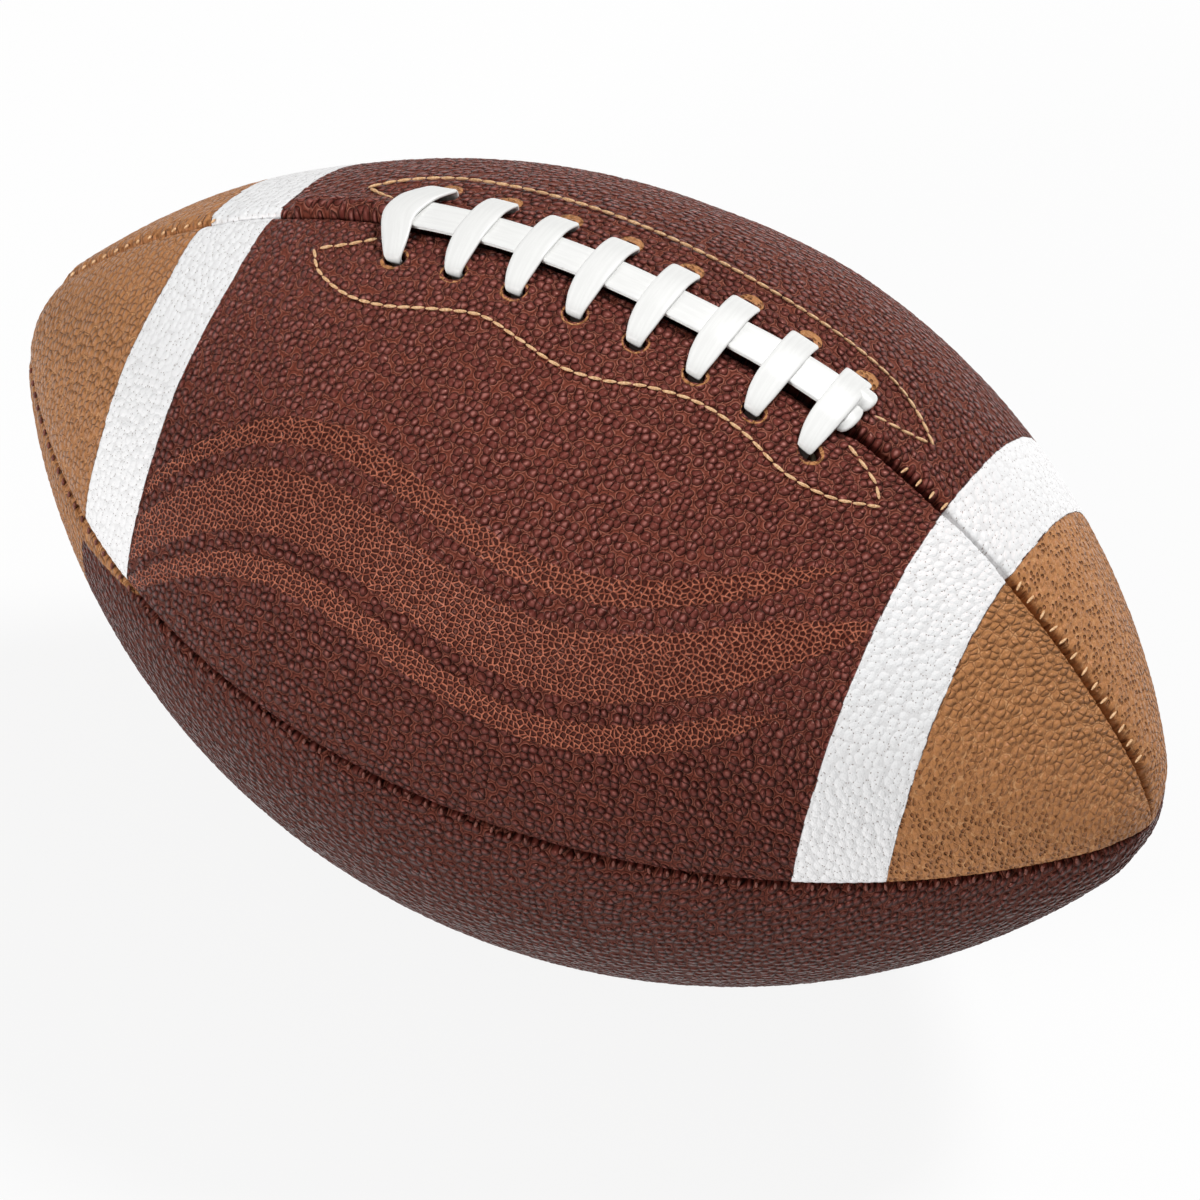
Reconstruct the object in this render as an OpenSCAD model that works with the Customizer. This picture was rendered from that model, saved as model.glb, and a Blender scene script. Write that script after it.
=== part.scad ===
// American football, laced, with four stitched leather panels round a valved bladder.
// The long axis runs along X, the lace is on top, and the ball stands on the middle of its bottom seam.

/* [Ball] */
// Length from nose to nose
ball_length = 282; // [268:1:292]
// Width across the middle, without the lace
ball_width = 171; // [160:1:180]
// Radius of each blunt nose
nose_r = 28.5; // [24:0.5:33]

/* [Cover] */
// Thickness of the leather
leather_t = 2.4; // [2:0.1:2.8]
// Depth that the stitched edges of the panels turn in, from the outer face
seam_allowance = 6; // [5:0.25:6.5]
// Gap between two stitched edges
seam_gap = 0.3; // [0.2:0.05:0.5]
// Width of the seam groove at the outer face
groove_w = 3.4; // [2.8:0.1:4.4]
// Depth of the seam groove
groove_d = 2.1; // [1.8:0.05:2.3]

/* [Lining and bladder] */
// Thickness of the fabric lining behind each panel
lining_t = 0.9; // [0.6:0.05:1.2]
// Wall of the rubber bladder
bladder_t = 0.9; // [0.7:0.05:1.6]
// Clearance between layers that lie on each other
layer_fit = 0.15; // [0.1:0.01:0.25]

/* [Lace] */
// Number of cross laces
cross_count = 8; // [6:1:8]
// Distance from one cross lace to the next
cross_pitch = 15.3; // [13:0.1:16]
// Distance across the seam between the two holes of a cross lace
hole_spacing = 25; // [22:0.5:28]
// Diameter of a lace hole
hole_d = 5.2; // [4.9:0.1:6]
// Width of the flat lace
lace_w = 7; // [6:0.1:8]
// Thickness of the flat lace
lace_t = 1.6; // [1.2:0.05:1.8]
// Width of the lace where it is gathered in a hole
lace_gather_w = 4; // [3.4:0.1:4.2]
// Thickness of the lace where it is gathered in a hole
lace_gather_t = 2.2; // [1.8:0.1:2.4]
// Distance of the lacing's middle from the ball's middle
lace_shift = 1; // [-3:0.5:3]
// Width of the slit between the panels under the lace
slit_w = 2.8; // [2.6:0.1:3.4]

/* [Patches and guard] */
// Thickness of the patch behind the lace holes
patch_t = 1.2; // [0.8:0.1:1.6]
// Distance from the lacing's middle to the end of a patch's stitching
patch_reach = 71.5; // [68:0.5:76]
// Greatest distance of a patch's stitching from the seam
patch_w = 26; // [23:0.5:30]
// Distance of a patch's inner edge from the seam
patch_inner = 3.4; // [3.2:0.1:4.5]
// Margin of a patch outside its stitching
patch_margin = 2; // [1.2:0.1:3]
// Thickness of the guard under the lace
guard_t = 1.4; // [1:0.1:2]
// Width of the guard
guard_w = 38; // [34:1:44]
// Distance that the guard runs past the outer cross laces
guard_overlap = 12; // [10:0.5:14]

/* [Thread] */
// Distance from one stitch to the next
stitch_pitch = 4; // [3.5:0.1:6]
// Diameter of the thread that sews the seams
seam_thread_d = 0.8; // [0.6:0.05:0.9]
// Diameter of the thread that sews the patches
patch_thread_d = 0.7; // [0.5:0.05:0.9]
// Longest patch stitch on the outer face
patch_stitch_l = 3.1; // [2.4:0.1:3.3]
// Least gap between two patch stitches
patch_stitch_gap = 0.8; // [0.7:0.05:1.2]

/* [Valve] */
// Diameter of the hole that takes the inflating needle
needle_hole_d = 2.2; // [2:0.05:2.6]
// Diameter of the valve's stem
stem_d = 8; // [7.6:0.1:10]
// Length of the valve from its mouth to its inner end
valve_l = 15; // [14:0.5:18]
// Diameter of the flange on the inside of the bladder
flange_d = 20; // [16:0.5:24]
// Thickness of the flange
flange_t = 1.4; // [1:0.1:2]
// Diameter of the self-sealing plug
plug_d = 5.2; // [4.6:0.1:5.6]
// Length of the self-sealing plug
plug_l = 6; // [5:0.25:6.5]
// Clearance round the stem, and of the plug in its chamber
valve_fit = 0.1; // [0.05:0.01:0.2]
// Depth of the valve's mouth below the outer face
mouth_recess = 0.3; // [0.2:0.1:0.6]
// Width of the slit in the plug
plug_slit_w = 2; // [1.6:0.1:2.4]
// Opening of the slit in the plug
plug_slit_t = 0.2; // [0.15:0.05:0.3]
// Angle of the valve round the long axis, measured from the lace
valve_angle = 135; // [120:1:150]

/* [Hidden] */

// Fineness of round faces
round_fn = 96;
small_fn = 24;

// Overrun of every cut past the face that it cuts
cut_over = ball_width / 20;

// The outline of half a lengthwise section: a long belly arc that runs into a small nose arc
half_l = ball_length / 2;
ball_r = ball_width / 2;
belly_r = (half_l * half_l - 2 * half_l * nose_r + ball_r * ball_r) / (2 * (ball_r - nose_r));
belly_drop = belly_r - ball_r;
nose_x = half_l - nose_r;
turn_angle = atan2(nose_x, belly_drop);
belly_z = ball_r - belly_drop;

// The groove's wall as shares of its depth and of its half width, and its width above the cover
groove_wall_shares = [[0.12, 0.76], [0.35, 0.58], [0.76, 0.56]];
groove_mouth_share = 1.6;

// Depths of the layers below the outer face
lining_inset = leather_t + layer_fit;
bladder_inset = lining_inset + lining_t + layer_fit;
patch_inset = bladder_inset;
patch_floor = patch_inset + patch_t;
edge_y = seam_gap / 2 + leather_t;
hole_y = hole_spacing / 2;
hole_drop = ball_r - sqrt(ball_r * ball_r - hole_y * hole_y);
under_bend = lace_t;
under_h = patch_floor + hole_drop + under_bend;
guard_inset = under_h + lace_t / 2 + layer_fit;
pocket_inset = guard_inset + guard_t + layer_fit;

// The lacing
cross_span = cross_pitch * (cross_count - 1) / 2;
opening_half = cross_span + lace_w / 2 + hole_d;
guard_half = cross_span + guard_overlap;
slit_s = lace_shift + cross_span + lace_w / 2 + lace_gather_w / 2 + layer_fit;
run_h = layer_fit + lace_t / 2;
run_step = lace_t + layer_fit;
arch_h = run_h + run_step + run_step + hole_drop + layer_fit;
fold_r = run_step / 2;
slit_gather_share = 0.8;
slit_lace_w = lace_gather_w * slit_gather_share;
run_end = lace_shift - cross_span - lace_w / 3;

// Shares of the arch at which the lace is gathered, and of its steps
gather_share = 0.16;
arch_steps = 14;
bend_steps = 4;
run_steps = 22;

// Stitched outline of the front patch, as shares of the reach and of the width
front_outer_shares = [
    [-1, 0.47], [-0.93, 0.72], [-0.8, 0.92], [-0.66, 0.97], [-0.5, 0.89], [-0.35, 0.82],
    [-0.2, 0.91], [-0.04, 1], [0.1, 0.95], [0.24, 0.8], [0.4, 0.69], [0.56, 0.7],
    [0.72, 0.78], [0.87, 0.69], [1, 0.45]
];
front_left_shares = [[-0.985, 0.456], [-0.9, 0.38], [-0.82, 0.27]];
front_right_shares = [[0.985, 0.41], [0.94, 0.29], [0.82, 0.17]];

// Stitched outline of the back patch, as shares of the reach and of the width
back_outer_shares = [
    [-1, 0.44], [-0.92, 0.61], [-0.8, 0.76], [-0.66, 0.83], [-0.4, 0.87], [0, 0.88],
    [0.4, 0.87], [0.62, 0.86], [0.78, 0.8], [0.9, 0.66], [1, 0.46]
];
back_left_shares = [[-0.985, 0.419], [-0.93, 0.34], [-0.85, 0.25]];
back_right_shares = [[0.985, 0.441], [0.92, 0.36], [0.82, 0.26]];

// Radius of the ball round its long axis at a place along it, on the belly arc
function ring_r(x) = sqrt(belly_r * belly_r - x * x) - belly_drop;

// A point given by its distance along the top seam, across it and above it
function over_seam(p) =
    let (turn = p[0] / belly_r * 180 / PI)
    [(belly_r + p[2]) * sin(turn), p[1], belly_z + (belly_r + p[2]) * cos(turn)];

// A point on the cover given by its place along the ball and the way round from the top seam
function on_cover(x, across, lift) =
    let (r = ring_r(x), turn = across / r * 180 / PI)
    [x, (r + lift) * sin(turn), ball_r + (r + lift) * cos(turn)];

function unit(v) = v / norm(v);
function mix(a, b, share) = a + (b - a) * share;

// Half of the ball's lengthwise section, grown inwards, with the long axis upright
module half_section(inset) {
    fan = belly_r * 2;
    intersection() {
        union() {
            intersection() {
                translate([-belly_drop, 0]) circle(belly_r - inset, $fn = round_fn * 4);
                polygon([
                    [-belly_drop, 0],
                    [fan * cos(turn_angle) - belly_drop, fan * sin(turn_angle)],
                    [fan, 0],
                    [fan * cos(turn_angle) - belly_drop, -fan * sin(turn_angle)]
                ]);
            }
            for (side = [-1, 1]) translate([0, side * nose_x]) circle(nose_r - inset, $fn = round_fn);
        }
        translate([0, -half_l]) square([ball_width, ball_length]);
    }
}

module ball_solid(inset) {
    translate([0, 0, ball_r])
        rotate([0, 90, 0])
        rotate_extrude($fn = round_fn) half_section(inset);
}

// Quarter of the space round the long axis: side_y is 1 at the back, side_z is 1 at the top
module quarter(side_y, side_z, edge) {
    low_y = side_y > 0 ? edge : -ball_width;
    low_z = side_z > 0 ? ball_r + edge : -ball_width;
    high_z = side_z > 0 ? ball_width * 2 : ball_r - edge;
    translate([-ball_length, low_y, low_z]) cube([ball_length * 2, ball_width - edge, high_z - low_z]);
}

// A ring that follows the outline of the lengthwise section, with its own cross-section.
// The children lie at the outline, outwards to the right.
module outline_ring() {
    translate([0, 0, ball_r]) rotate([90, 0, 0]) {
        for (side = [0, 180]) {
            rotate([0, 0, side]) translate([0, -belly_drop])
                rotate_extrude(angle = 2 * turn_angle, start = 90 - turn_angle, $fn = round_fn * 4)
                translate([belly_r, 0]) children();
            rotate([0, 0, side]) translate([nose_x, 0])
                rotate_extrude(angle = 180 - 2 * turn_angle, start = turn_angle - 90, $fn = round_fn)
                translate([nose_r, 0]) children();
        }
    }
}

// Cross-section of the groove between two panels, with rounded shoulders
module groove_section() {
    half = groove_w / 2;
    floor_half = seam_thread_d / 2 + layer_fit / 2;
    wall = [
        [half, half * groove_mouth_share], [0, half],
        for (p = groove_wall_shares) [-groove_d * p[0], half * p[1]],
        [-groove_d, floor_half]
    ];
    last = len(wall) - 1;
    polygon(concat(wall, [for (k = [last : -1 : 0]) [wall[k][0], -wall[k][1]]]));
}

module seam_grooves() {
    outline_ring() groove_section();
    translate([0, 0, ball_r]) rotate([90, 0, 0]) translate([0, 0, -ball_r])
        outline_ring() groove_section();
}

// Box above the middle of the ball, centred on the lacing
module over_lacing(half_along, half_across) {
    translate([lace_shift - half_along, -half_across, ball_r + ball_r / 2])
        cube([half_along * 2, half_across * 2, ball_width]);
}

// Holes for the lace, along the belly arc's own radii
module lace_holes() {
    for (i = [0 : cross_count - 1], side = [-1, 1]) {
        turn = (lace_shift - cross_span + i * cross_pitch) / belly_r * 180 / PI;
        translate([0, 0, belly_z]) rotate([0, turn, 0])
            translate([0, side * hole_y, belly_r - pocket_inset])
            cylinder(h = pocket_inset + cut_over, d = hole_d, $fn = small_fn);
    }
}

// Places its children at the valve, with the cover's outer face at zero and outwards up
module at_valve() {
    translate([0, 0, ball_r]) rotate([-valve_angle, 0, 0]) translate([0, 0, ball_r]) children();
}

module stem_hole(depth) {
    at_valve() translate([0, 0, -depth])
        cylinder(h = depth + cut_over, d = stem_d + 2 * valve_fit, $fn = small_fn * 2);
}

// One leather panel: a quarter of the shell with its stitched edges turned in
module panel(side_y, side_z) {
    difference() {
        intersection() {
            ball_solid(0);
            quarter(side_y, side_z, seam_gap / 2);
        }
        ball_solid(seam_allowance);
        intersection() {
            ball_solid(leather_t);
            quarter(side_y, side_z, edge_y);
        }
        seam_grooves();
        children();
    }
}

// What the two top panels lose to the lacing
module lacing_cuts() {
    over_lacing(opening_half, slit_w / 2);
    intersection() {
        ball_solid(leather_t);
        over_lacing(opening_half, edge_y + leather_t);
    }
    lace_holes();
}

module panel_front_top() { color("#5a2620") panel(-1, 1) lacing_cuts(); }
module panel_back_top() { color("#5e2923") panel(1, 1) lacing_cuts(); }
module panel_front_bottom() { color("#542420") panel(-1, -1); }
module panel_back_bottom() { color("#58261f") panel(1, -1) stem_hole(seam_allowance); }

// Fabric lining behind one panel
module lining(side_y, side_z) {
    difference() {
        intersection() {
            ball_solid(lining_inset);
            quarter(side_y, side_z, edge_y + layer_fit);
        }
        ball_solid(lining_inset + lining_t);
        children();
    }
}

module lining_front_top() { color("#b9a98c") lining(-1, 1) lace_holes(); }
module lining_back_top() { color("#b9a98c") lining(1, 1) lace_holes(); }
module lining_front_bottom() { color("#b9a98c") lining(-1, -1); }
module lining_back_bottom() { color("#b9a98c") lining(1, -1) stem_hole(seam_allowance); }

// The bladder's form, which gives way to the turned-in edges and to the guard
module bladder_form(inset) {
    crease_half = edge_y + layer_fit + inset;
    difference() {
        ball_solid(bladder_inset + inset);
        difference() {
            translate([-ball_length, -crease_half, -ball_width])
                cube([ball_length * 2, crease_half * 2, ball_width * 3]);
            ball_solid(seam_allowance + layer_fit + inset);
        }
        difference() {
            translate([-ball_length, -ball_width, ball_r - crease_half])
                cube([ball_length * 2, ball_width * 2, crease_half * 2]);
            ball_solid(seam_allowance + layer_fit + inset);
        }
        difference() {
            over_lacing(patch_reach + 2 * patch_margin + inset, patch_w + 2 * patch_margin + inset);
            ball_solid(pocket_inset + inset);
        }
    }
}

module bladder() {
    color("#33302e") difference() {
        bladder_form(0);
        bladder_form(bladder_t);
        stem_hole(pocket_inset);
    }
}

// The valve's levels below the outer face
bladder_floor = bladder_inset + bladder_t;
flange_sag = ball_r - sqrt(ball_r * ball_r - flange_d * flange_d / 4);
flange_z = -(bladder_floor + flange_sag + layer_fit);
chamber_z = flange_z + flange_t / 2;
plug_z = chamber_z - plug_l - valve_fit;

module valve_body() {
    color("#1d1c1b") at_valve() difference() {
        union() {
            translate([0, 0, -valve_l]) cylinder(h = valve_l - mouth_recess, d = stem_d, $fn = small_fn * 2);
            translate([0, 0, flange_z - flange_t]) cylinder(h = flange_t, d = flange_d, $fn = small_fn * 2);
        }
        translate([0, 0, chamber_z - flange_t])
            cylinder(h = cut_over + valve_l, d = needle_hole_d, $fn = small_fn);
        translate([0, 0, -valve_l - cut_over])
            cylinder(h = valve_l + cut_over + chamber_z, d = plug_d + 2 * valve_fit, $fn = small_fn * 2);
    }
}

module valve_plug() {
    color("#6f6c68") at_valve() difference() {
        translate([0, 0, plug_z]) cylinder(h = plug_l, d = plug_d, $fn = small_fn * 2);
        translate([-plug_slit_w / 2, -plug_slit_t / 2, plug_z - cut_over])
            cube([plug_slit_w, plug_slit_t, plug_l + 2 * cut_over]);
    }
}

// Share of the reach over which a patch's inner edge runs along the seam
patch_edge_share = 0.8;

// A patch's plan: its stitched outline with a margin, kept off the seam
module patch_plan(outer_shares, side) {
    reach = patch_reach + patch_margin;
    wide = patch_w + patch_margin;
    tip = outer_shares[0][1] * patch_w - patch_margin;
    last = outer_shares[len(outer_shares) - 1][1] * patch_w - patch_margin;
    polygon(concat(
        [for (p = outer_shares) [lace_shift + p[0] * reach, side * p[1] * wide]],
        [
            [lace_shift + reach, side * last],
            [lace_shift + patch_reach * patch_edge_share, side * patch_inner],
            [lace_shift - patch_reach * patch_edge_share, side * patch_inner],
            [lace_shift - reach, side * tip]
        ]
    ));
}

module lace_patch(outer_shares, side) {
    difference() {
        intersection() {
            ball_solid(patch_inset);
            translate([0, 0, ball_r]) linear_extrude(ball_width) patch_plan(outer_shares, side);
        }
        ball_solid(patch_floor);
        lace_holes();
    }
}

module lace_patch_front() { color("#8a6a48") lace_patch(front_outer_shares, -1); }
module lace_patch_back() { color("#8a6a48") lace_patch(back_outer_shares, 1); }

module lace_guard() {
    color("#9a744c") difference() {
        intersection() {
            ball_solid(guard_inset);
            over_lacing(guard_half, guard_w / 2);
        }
        ball_solid(guard_inset + guard_t);
    }
}

// The lace's stations: a place over the seam, the way its width lies, its width and its thickness.
// First every cross lace in turn, up through its front hole and down through its back hole.
function cross_stations(i) =
    let (
        s = lace_shift - cross_span + i * cross_pitch,
        low = -under_h + under_bend,
        near = -hole_y + under_bend
    )
    concat(
        [for (k = [1 : bend_steps])
            let (a = 90 * k / bend_steps)
            [[s, near - under_bend * sin(a), low - under_bend * cos(a)], [1, 0, 0],
                mix(lace_w, lace_gather_w, min(1, k / (bend_steps - 1))), lace_t]],
        [for (k = [0 : arch_steps])
            let (
                a = 180 * k / arch_steps,
                open = min(1, sin(a) / (2 * gather_share + sin(a) * (1 - 2 * gather_share))),
                flat = open * open * (3 - 2 * open)
            )
            [[s, -hole_y * cos(a), -hole_drop + arch_h * sin(a)], [1, 0, 0],
                mix(lace_gather_w, lace_w, flat), mix(lace_gather_t, lace_t, flat)]],
        [for (k = [bend_steps : -1 : 1])
            let (a = 90 * k / bend_steps)
            [[s, -near + under_bend * sin(a), low - under_bend * cos(a)], [1, 0, 0],
                mix(lace_w, lace_gather_w, min(1, k / (bend_steps - 1))), lace_t]]
    );

// The end of the lace inside, under the first cross lace
function first_end() =
    let (s = lace_shift - cross_span)
    [[[s, -slit_w, -under_h], [1, 0, 0], lace_w, lace_t]];

// Up through the slit past the last cross lace, turned flat above it, then down to the seam
function rising_end() = concat(
    [for (k = [0 : bend_steps])
        let (a = 90 * k / bend_steps)
        [[slit_s, under_bend * (1 - sin(a)), -under_h + under_bend * (1 - cos(a))], [1, 0, 0],
            slit_lace_w, lace_t]],
    [for (k = [0 : bend_steps])
        let (a = 90 * k / bend_steps)
        [[slit_s, 0, mix(layer_fit, lace_t, k / bend_steps)], [cos(a), sin(a), 0], slit_lace_w, lace_t]],
    [for (k = [1 : bend_steps])
        let (a = 90 * k / bend_steps)
        [[slit_s - fold_r * (1 - cos(a)), 0, lace_t + fold_r * sin(a)], [0, 1, 0], slit_lace_w, lace_t]]
);

// The doubled length under the cross laces, folded over at its far end
function run_stations() =
    let (from = slit_s - fold_r - 2 * lace_t, to = from - lace_w / 4)
    concat(
        [for (k = [0 : run_steps])
            [[mix(from, run_end, k / run_steps), 0, run_h], [0, 1, 0], lace_w, lace_t]],
        [for (k = [1 : bend_steps * 2 - 1])
            let (a = 90 * k / bend_steps)
            [[run_end - fold_r * sin(a), 0, run_h + fold_r * (1 - cos(a))], [0, 1, 0], lace_w, lace_t]],
        [for (k = [0 : run_steps])
            [[mix(run_end, to, k / run_steps), 0, run_h + run_step], [0, 1, 0], lace_w, lace_t]]
    );

// A flat strip through a list of stations, as one closed solid
module strip(stations) {
    last = len(stations) - 1;
    rings = [for (k = [0 : last])
        let (
            here = stations[k],
            along = unit(stations[min(last, k + 1)][0] - stations[max(0, k - 1)][0]),
            face = unit(cross(along, here[1])),
            side = unit(cross(face, along))
        )
        [for (corner = [[-1, -1], [1, -1], [1, 1], [-1, 1]])
            over_seam(here[0] + side * corner[0] * here[2] / 2 + face * corner[1] * here[3] / 2)]
    ];
    points = [for (ring = rings) for (p = ring) p];
    skin = [for (k = [0 : last - 1], j = [0 : 3])
        let (a = 4 * k + j, b = 4 * k + (j + 1) % 4)
        each [[a, a + 4, b], [b, a + 4, b + 4]]];
    polyhedron(points, concat(skin, [[0, 1, 2], [0, 2, 3]],
        [[4 * last, 4 * last + 2, 4 * last + 1], [4 * last, 4 * last + 3, 4 * last + 2]]));
}

module lace() {
    color("#f2f2f0") strip(concat(
        first_end(),
        [for (i = [0 : cross_count - 1]) each cross_stations(i)],
        rising_end(),
        run_stations()
    ));
}

// One stitch that lies on the cover between two points
module lying_stitch(a, b) {
    along = b - a;
    stitch_l = min(patch_stitch_l, norm(along) - patch_stitch_gap);
    translate((a + b) / 2)
        rotate([0, acos(along[2] / norm(along)), atan2(along[1], along[0])])
        cylinder(h = stitch_l, d = patch_thread_d, center = true, $fn = small_fn);
}

// Stitches at an even pitch along one line of an outline
module stitch_line(shares, side) {
    lift = patch_thread_d / 2 + layer_fit / 2;
    points = [for (p = shares)
        on_cover(lace_shift + p[0] * patch_reach, side * p[1] * patch_w, lift)];
    for (k = [0 : len(points) - 2]) {
        count = max(1, round(norm(points[k + 1] - points[k]) / stitch_pitch));
        for (j = [0 : count - 1]) {
            a = mix(shares[k], shares[k + 1], j / count);
            b = mix(shares[k], shares[k + 1], (j + 1) / count);
            lying_stitch(
                on_cover(lace_shift + a[0] * patch_reach, side * a[1] * patch_w, lift),
                on_cover(lace_shift + b[0] * patch_reach, side * b[1] * patch_w, lift)
            );
        }
    }
}

module patch_stitching_front() {
    color("#d9a866") {
        stitch_line(front_outer_shares, -1);
        stitch_line(front_left_shares, -1);
        stitch_line(front_right_shares, -1);
    }
}

module patch_stitching_back() {
    color("#d9a866") {
        stitch_line(back_outer_shares, 1);
        stitch_line(back_left_shares, 1);
        stitch_line(back_right_shares, 1);
    }
}

// A stitch across a seam: shares of the thread for its rise and diameter, and of the groove's width
rung_rise_share = 0.55;
rung_d_share = 0.9;
rung_l_share = 0.52;

// Thread in the top seam's place: a run along the groove and a stitch across it at every pitch
thread_depth = groove_d - seam_thread_d / 2 - layer_fit / 2;
rung_depth = thread_depth - seam_thread_d * rung_rise_share;
rung_l = groove_w * rung_l_share;

module seam_thread_over(free_half) {
    thread_turn = turn_angle - 90 * stitch_pitch / half_l;
    free_turn = free_half / belly_r * 180 / PI;
    shift_turn = free_half > 0 ? lace_shift / belly_r * 180 / PI : 0;
    rung_turn = stitch_pitch / belly_r * 180 / PI;
    rung_count = floor(2 * thread_turn / rung_turn);
    runs = free_half > 0
        ? [[-thread_turn, shift_turn - free_turn], [shift_turn + free_turn, thread_turn]]
        : [[-thread_turn, thread_turn]];
    translate([0, 0, belly_z]) for (run = runs) {
        union() {
            rotate([90, 0, 0])
                rotate_extrude(angle = run[1] - run[0], start = 90 - run[1], $fn = round_fn * 4)
                translate([belly_r - thread_depth, 0]) circle(d = seam_thread_d, $fn = small_fn);
            for (k = [1 : rung_count - 1]) {
                turn = -thread_turn + (k - 0.5) * rung_turn;
                if (turn > run[0] + rung_turn / 4 && turn < run[1] - rung_turn / 4)
                    rotate([0, turn, 0]) translate([0, 0, belly_r - rung_depth]) rotate([90, 0, 0])
                        cylinder(h = rung_l, d = seam_thread_d * rung_d_share, center = true, $fn = small_fn);
            }
        }
    }
}

// The same thread turned about the long axis into another seam
module seam_thread(turn, free_half) {
    translate([0, 0, ball_r]) rotate([turn, 0, 0]) translate([0, 0, -ball_r]) seam_thread_over(free_half);
}

module seam_thread_top() { color("#c79457") seam_thread(0, opening_half + stitch_pitch / 2); }
module seam_thread_bottom() { color("#8a4a36") seam_thread(180, 0); }
module seam_thread_front() { color("#8a4a36") seam_thread(90, 0); }
module seam_thread_back() { color("#8a4a36") seam_thread(-90, 0); }

panel_front_top();
panel_back_top();
panel_front_bottom();
panel_back_bottom();
lining_front_top();
lining_back_top();
lining_front_bottom();
lining_back_bottom();
bladder();
valve_body();
valve_plug();
lace_patch_front();
lace_patch_back();
lace_guard();
lace();
patch_stitching_front();
patch_stitching_back();
seam_thread_top();
seam_thread_bottom();
seam_thread_front();
seam_thread_back();
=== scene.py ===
import math

import bpy
import numpy as np
from mathutils import Matrix, Vector


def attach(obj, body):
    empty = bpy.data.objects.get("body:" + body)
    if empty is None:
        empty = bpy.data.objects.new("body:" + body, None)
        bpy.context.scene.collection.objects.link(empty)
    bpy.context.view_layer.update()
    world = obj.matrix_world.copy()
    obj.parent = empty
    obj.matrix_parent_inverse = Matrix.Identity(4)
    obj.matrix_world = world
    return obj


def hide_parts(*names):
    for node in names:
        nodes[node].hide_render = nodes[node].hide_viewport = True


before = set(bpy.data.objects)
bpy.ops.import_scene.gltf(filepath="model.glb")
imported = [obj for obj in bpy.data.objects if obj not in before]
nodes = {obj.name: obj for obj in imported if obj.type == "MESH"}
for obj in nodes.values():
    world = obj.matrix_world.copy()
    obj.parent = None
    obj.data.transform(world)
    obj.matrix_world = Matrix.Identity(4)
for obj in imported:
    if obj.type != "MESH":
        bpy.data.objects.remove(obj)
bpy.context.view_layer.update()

mm = 0.001
print("frame loaded")


# camera, first of all
cameraSetup = {
    "place": (1.85248, -3.89419, 4.25727),  # m
    "right": (0.86517, 0.49531, 0.07845),
    "up": (-0.39566, 0.57807, 0.71364),
    "lens": 815.9,                          # mm
}


def addCamera():
    right = Vector(cameraSetup["right"]).normalized()
    up = Vector(cameraSetup["up"]).normalized()
    back = right.cross(up)
    turned = Matrix((right, up, back)).transposed().to_euler()
    bpy.ops.object.camera_add(location=cameraSetup["place"], rotation=turned)
    camera = bpy.context.object
    camera.name = "camera"
    camera.data.lens = cameraSetup["lens"]
    camera.data.sensor_width = 36
    camera.data.clip_end = 40
    bpy.context.scene.camera = camera


addCamera()
print("camera placed")


# the ball's own outline: a belly arc that runs into two nose arcs
ball = {"length": 282, "width": 171, "nose": 28.5}  # mm

halfLength = ball["length"] / 2
radius = ball["width"] / 2
bellyR = (halfLength ** 2 - 2 * halfLength * ball["nose"] + radius ** 2) / (2 * (radius - ball["nose"]))
bellyDrop = bellyR - radius
noseX = halfLength - ball["nose"]
turnAngle = math.atan2(noseX, bellyDrop)
bellyReach = bellyR * turnAngle
outlineReach = bellyReach + ball["nose"] * (math.pi / 2 - turnAngle)


def outline(along):
    # along is the way along the outline in mm; gives x, the radius there and the way outwards
    away = np.abs(along)
    side = np.sign(along)
    onNose = away > bellyReach
    angle = np.where(onNose, turnAngle + (away - bellyReach) / ball["nose"], away / bellyR)
    x = side * np.where(onNose, noseX + ball["nose"] * np.sin(angle), bellyR * np.sin(angle))
    r = np.where(onNose, ball["nose"] * np.cos(angle), bellyR * np.cos(angle) - bellyDrop)
    return x, np.maximum(r, 0), side * np.sin(angle), np.cos(angle)


def ballPoint(along, angle, lift):
    # angle in radians round the long axis, 0 on the lace seam and negative in front; mm in, metres out
    x, r, outX, outR = outline(np.asarray(along, float))
    reach = r + outR * lift
    return np.stack([x + outX * lift, reach * np.sin(angle), radius + reach * np.cos(angle)], axis=-1) * mm


def overSeam(s, y, h):
    # s along the lace seam, y across it, h above it; mm in, metres out
    s, y, h = (np.asarray(v, float) for v in (s, y, h))
    turn = s / bellyR
    return np.stack([(bellyR + h) * np.sin(turn), y + 0 * s,
                     radius - bellyDrop + (bellyR + h) * np.cos(turn)], axis=-1) * mm


def smoothShare(value, low, high):
    share = np.clip((value - low) / (high - low), 0, 1)
    return share * share * (3 - 2 * share)


# small helpers
def deselectAll():
    if bpy.context.object and bpy.context.object.mode != "OBJECT":
        bpy.ops.object.mode_set(mode="OBJECT")
    bpy.ops.object.select_all(action="DESELECT")


def makeActive(piece):
    deselectAll()
    piece.select_set(True)
    bpy.context.view_layer.objects.active = piece


def vertexPlaces(piece):
    places = np.empty(len(piece.data.vertices) * 3, np.float32)
    piece.data.vertices.foreach_get("co", places)
    return places.reshape(-1, 3).astype(float)


def setVertexPlaces(piece, places):
    piece.data.vertices.foreach_set("co", places.astype(np.float32).ravel())
    piece.data.update()


def joinPieces(pieces, name):
    deselectAll()
    for piece in pieces:
        piece.select_set(True)
    bpy.context.view_layer.objects.active = pieces[0]
    if len(pieces) > 1:
        bpy.ops.object.join()
    joined = bpy.context.object
    joined.name = name
    joined.data.name = name
    return joined


def finishPiece(piece, material, replaced=()):
    piece.data.materials.clear()
    piece.data.materials.append(material)
    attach(piece, "root")
    if replaced:
        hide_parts(*replaced)


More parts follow.
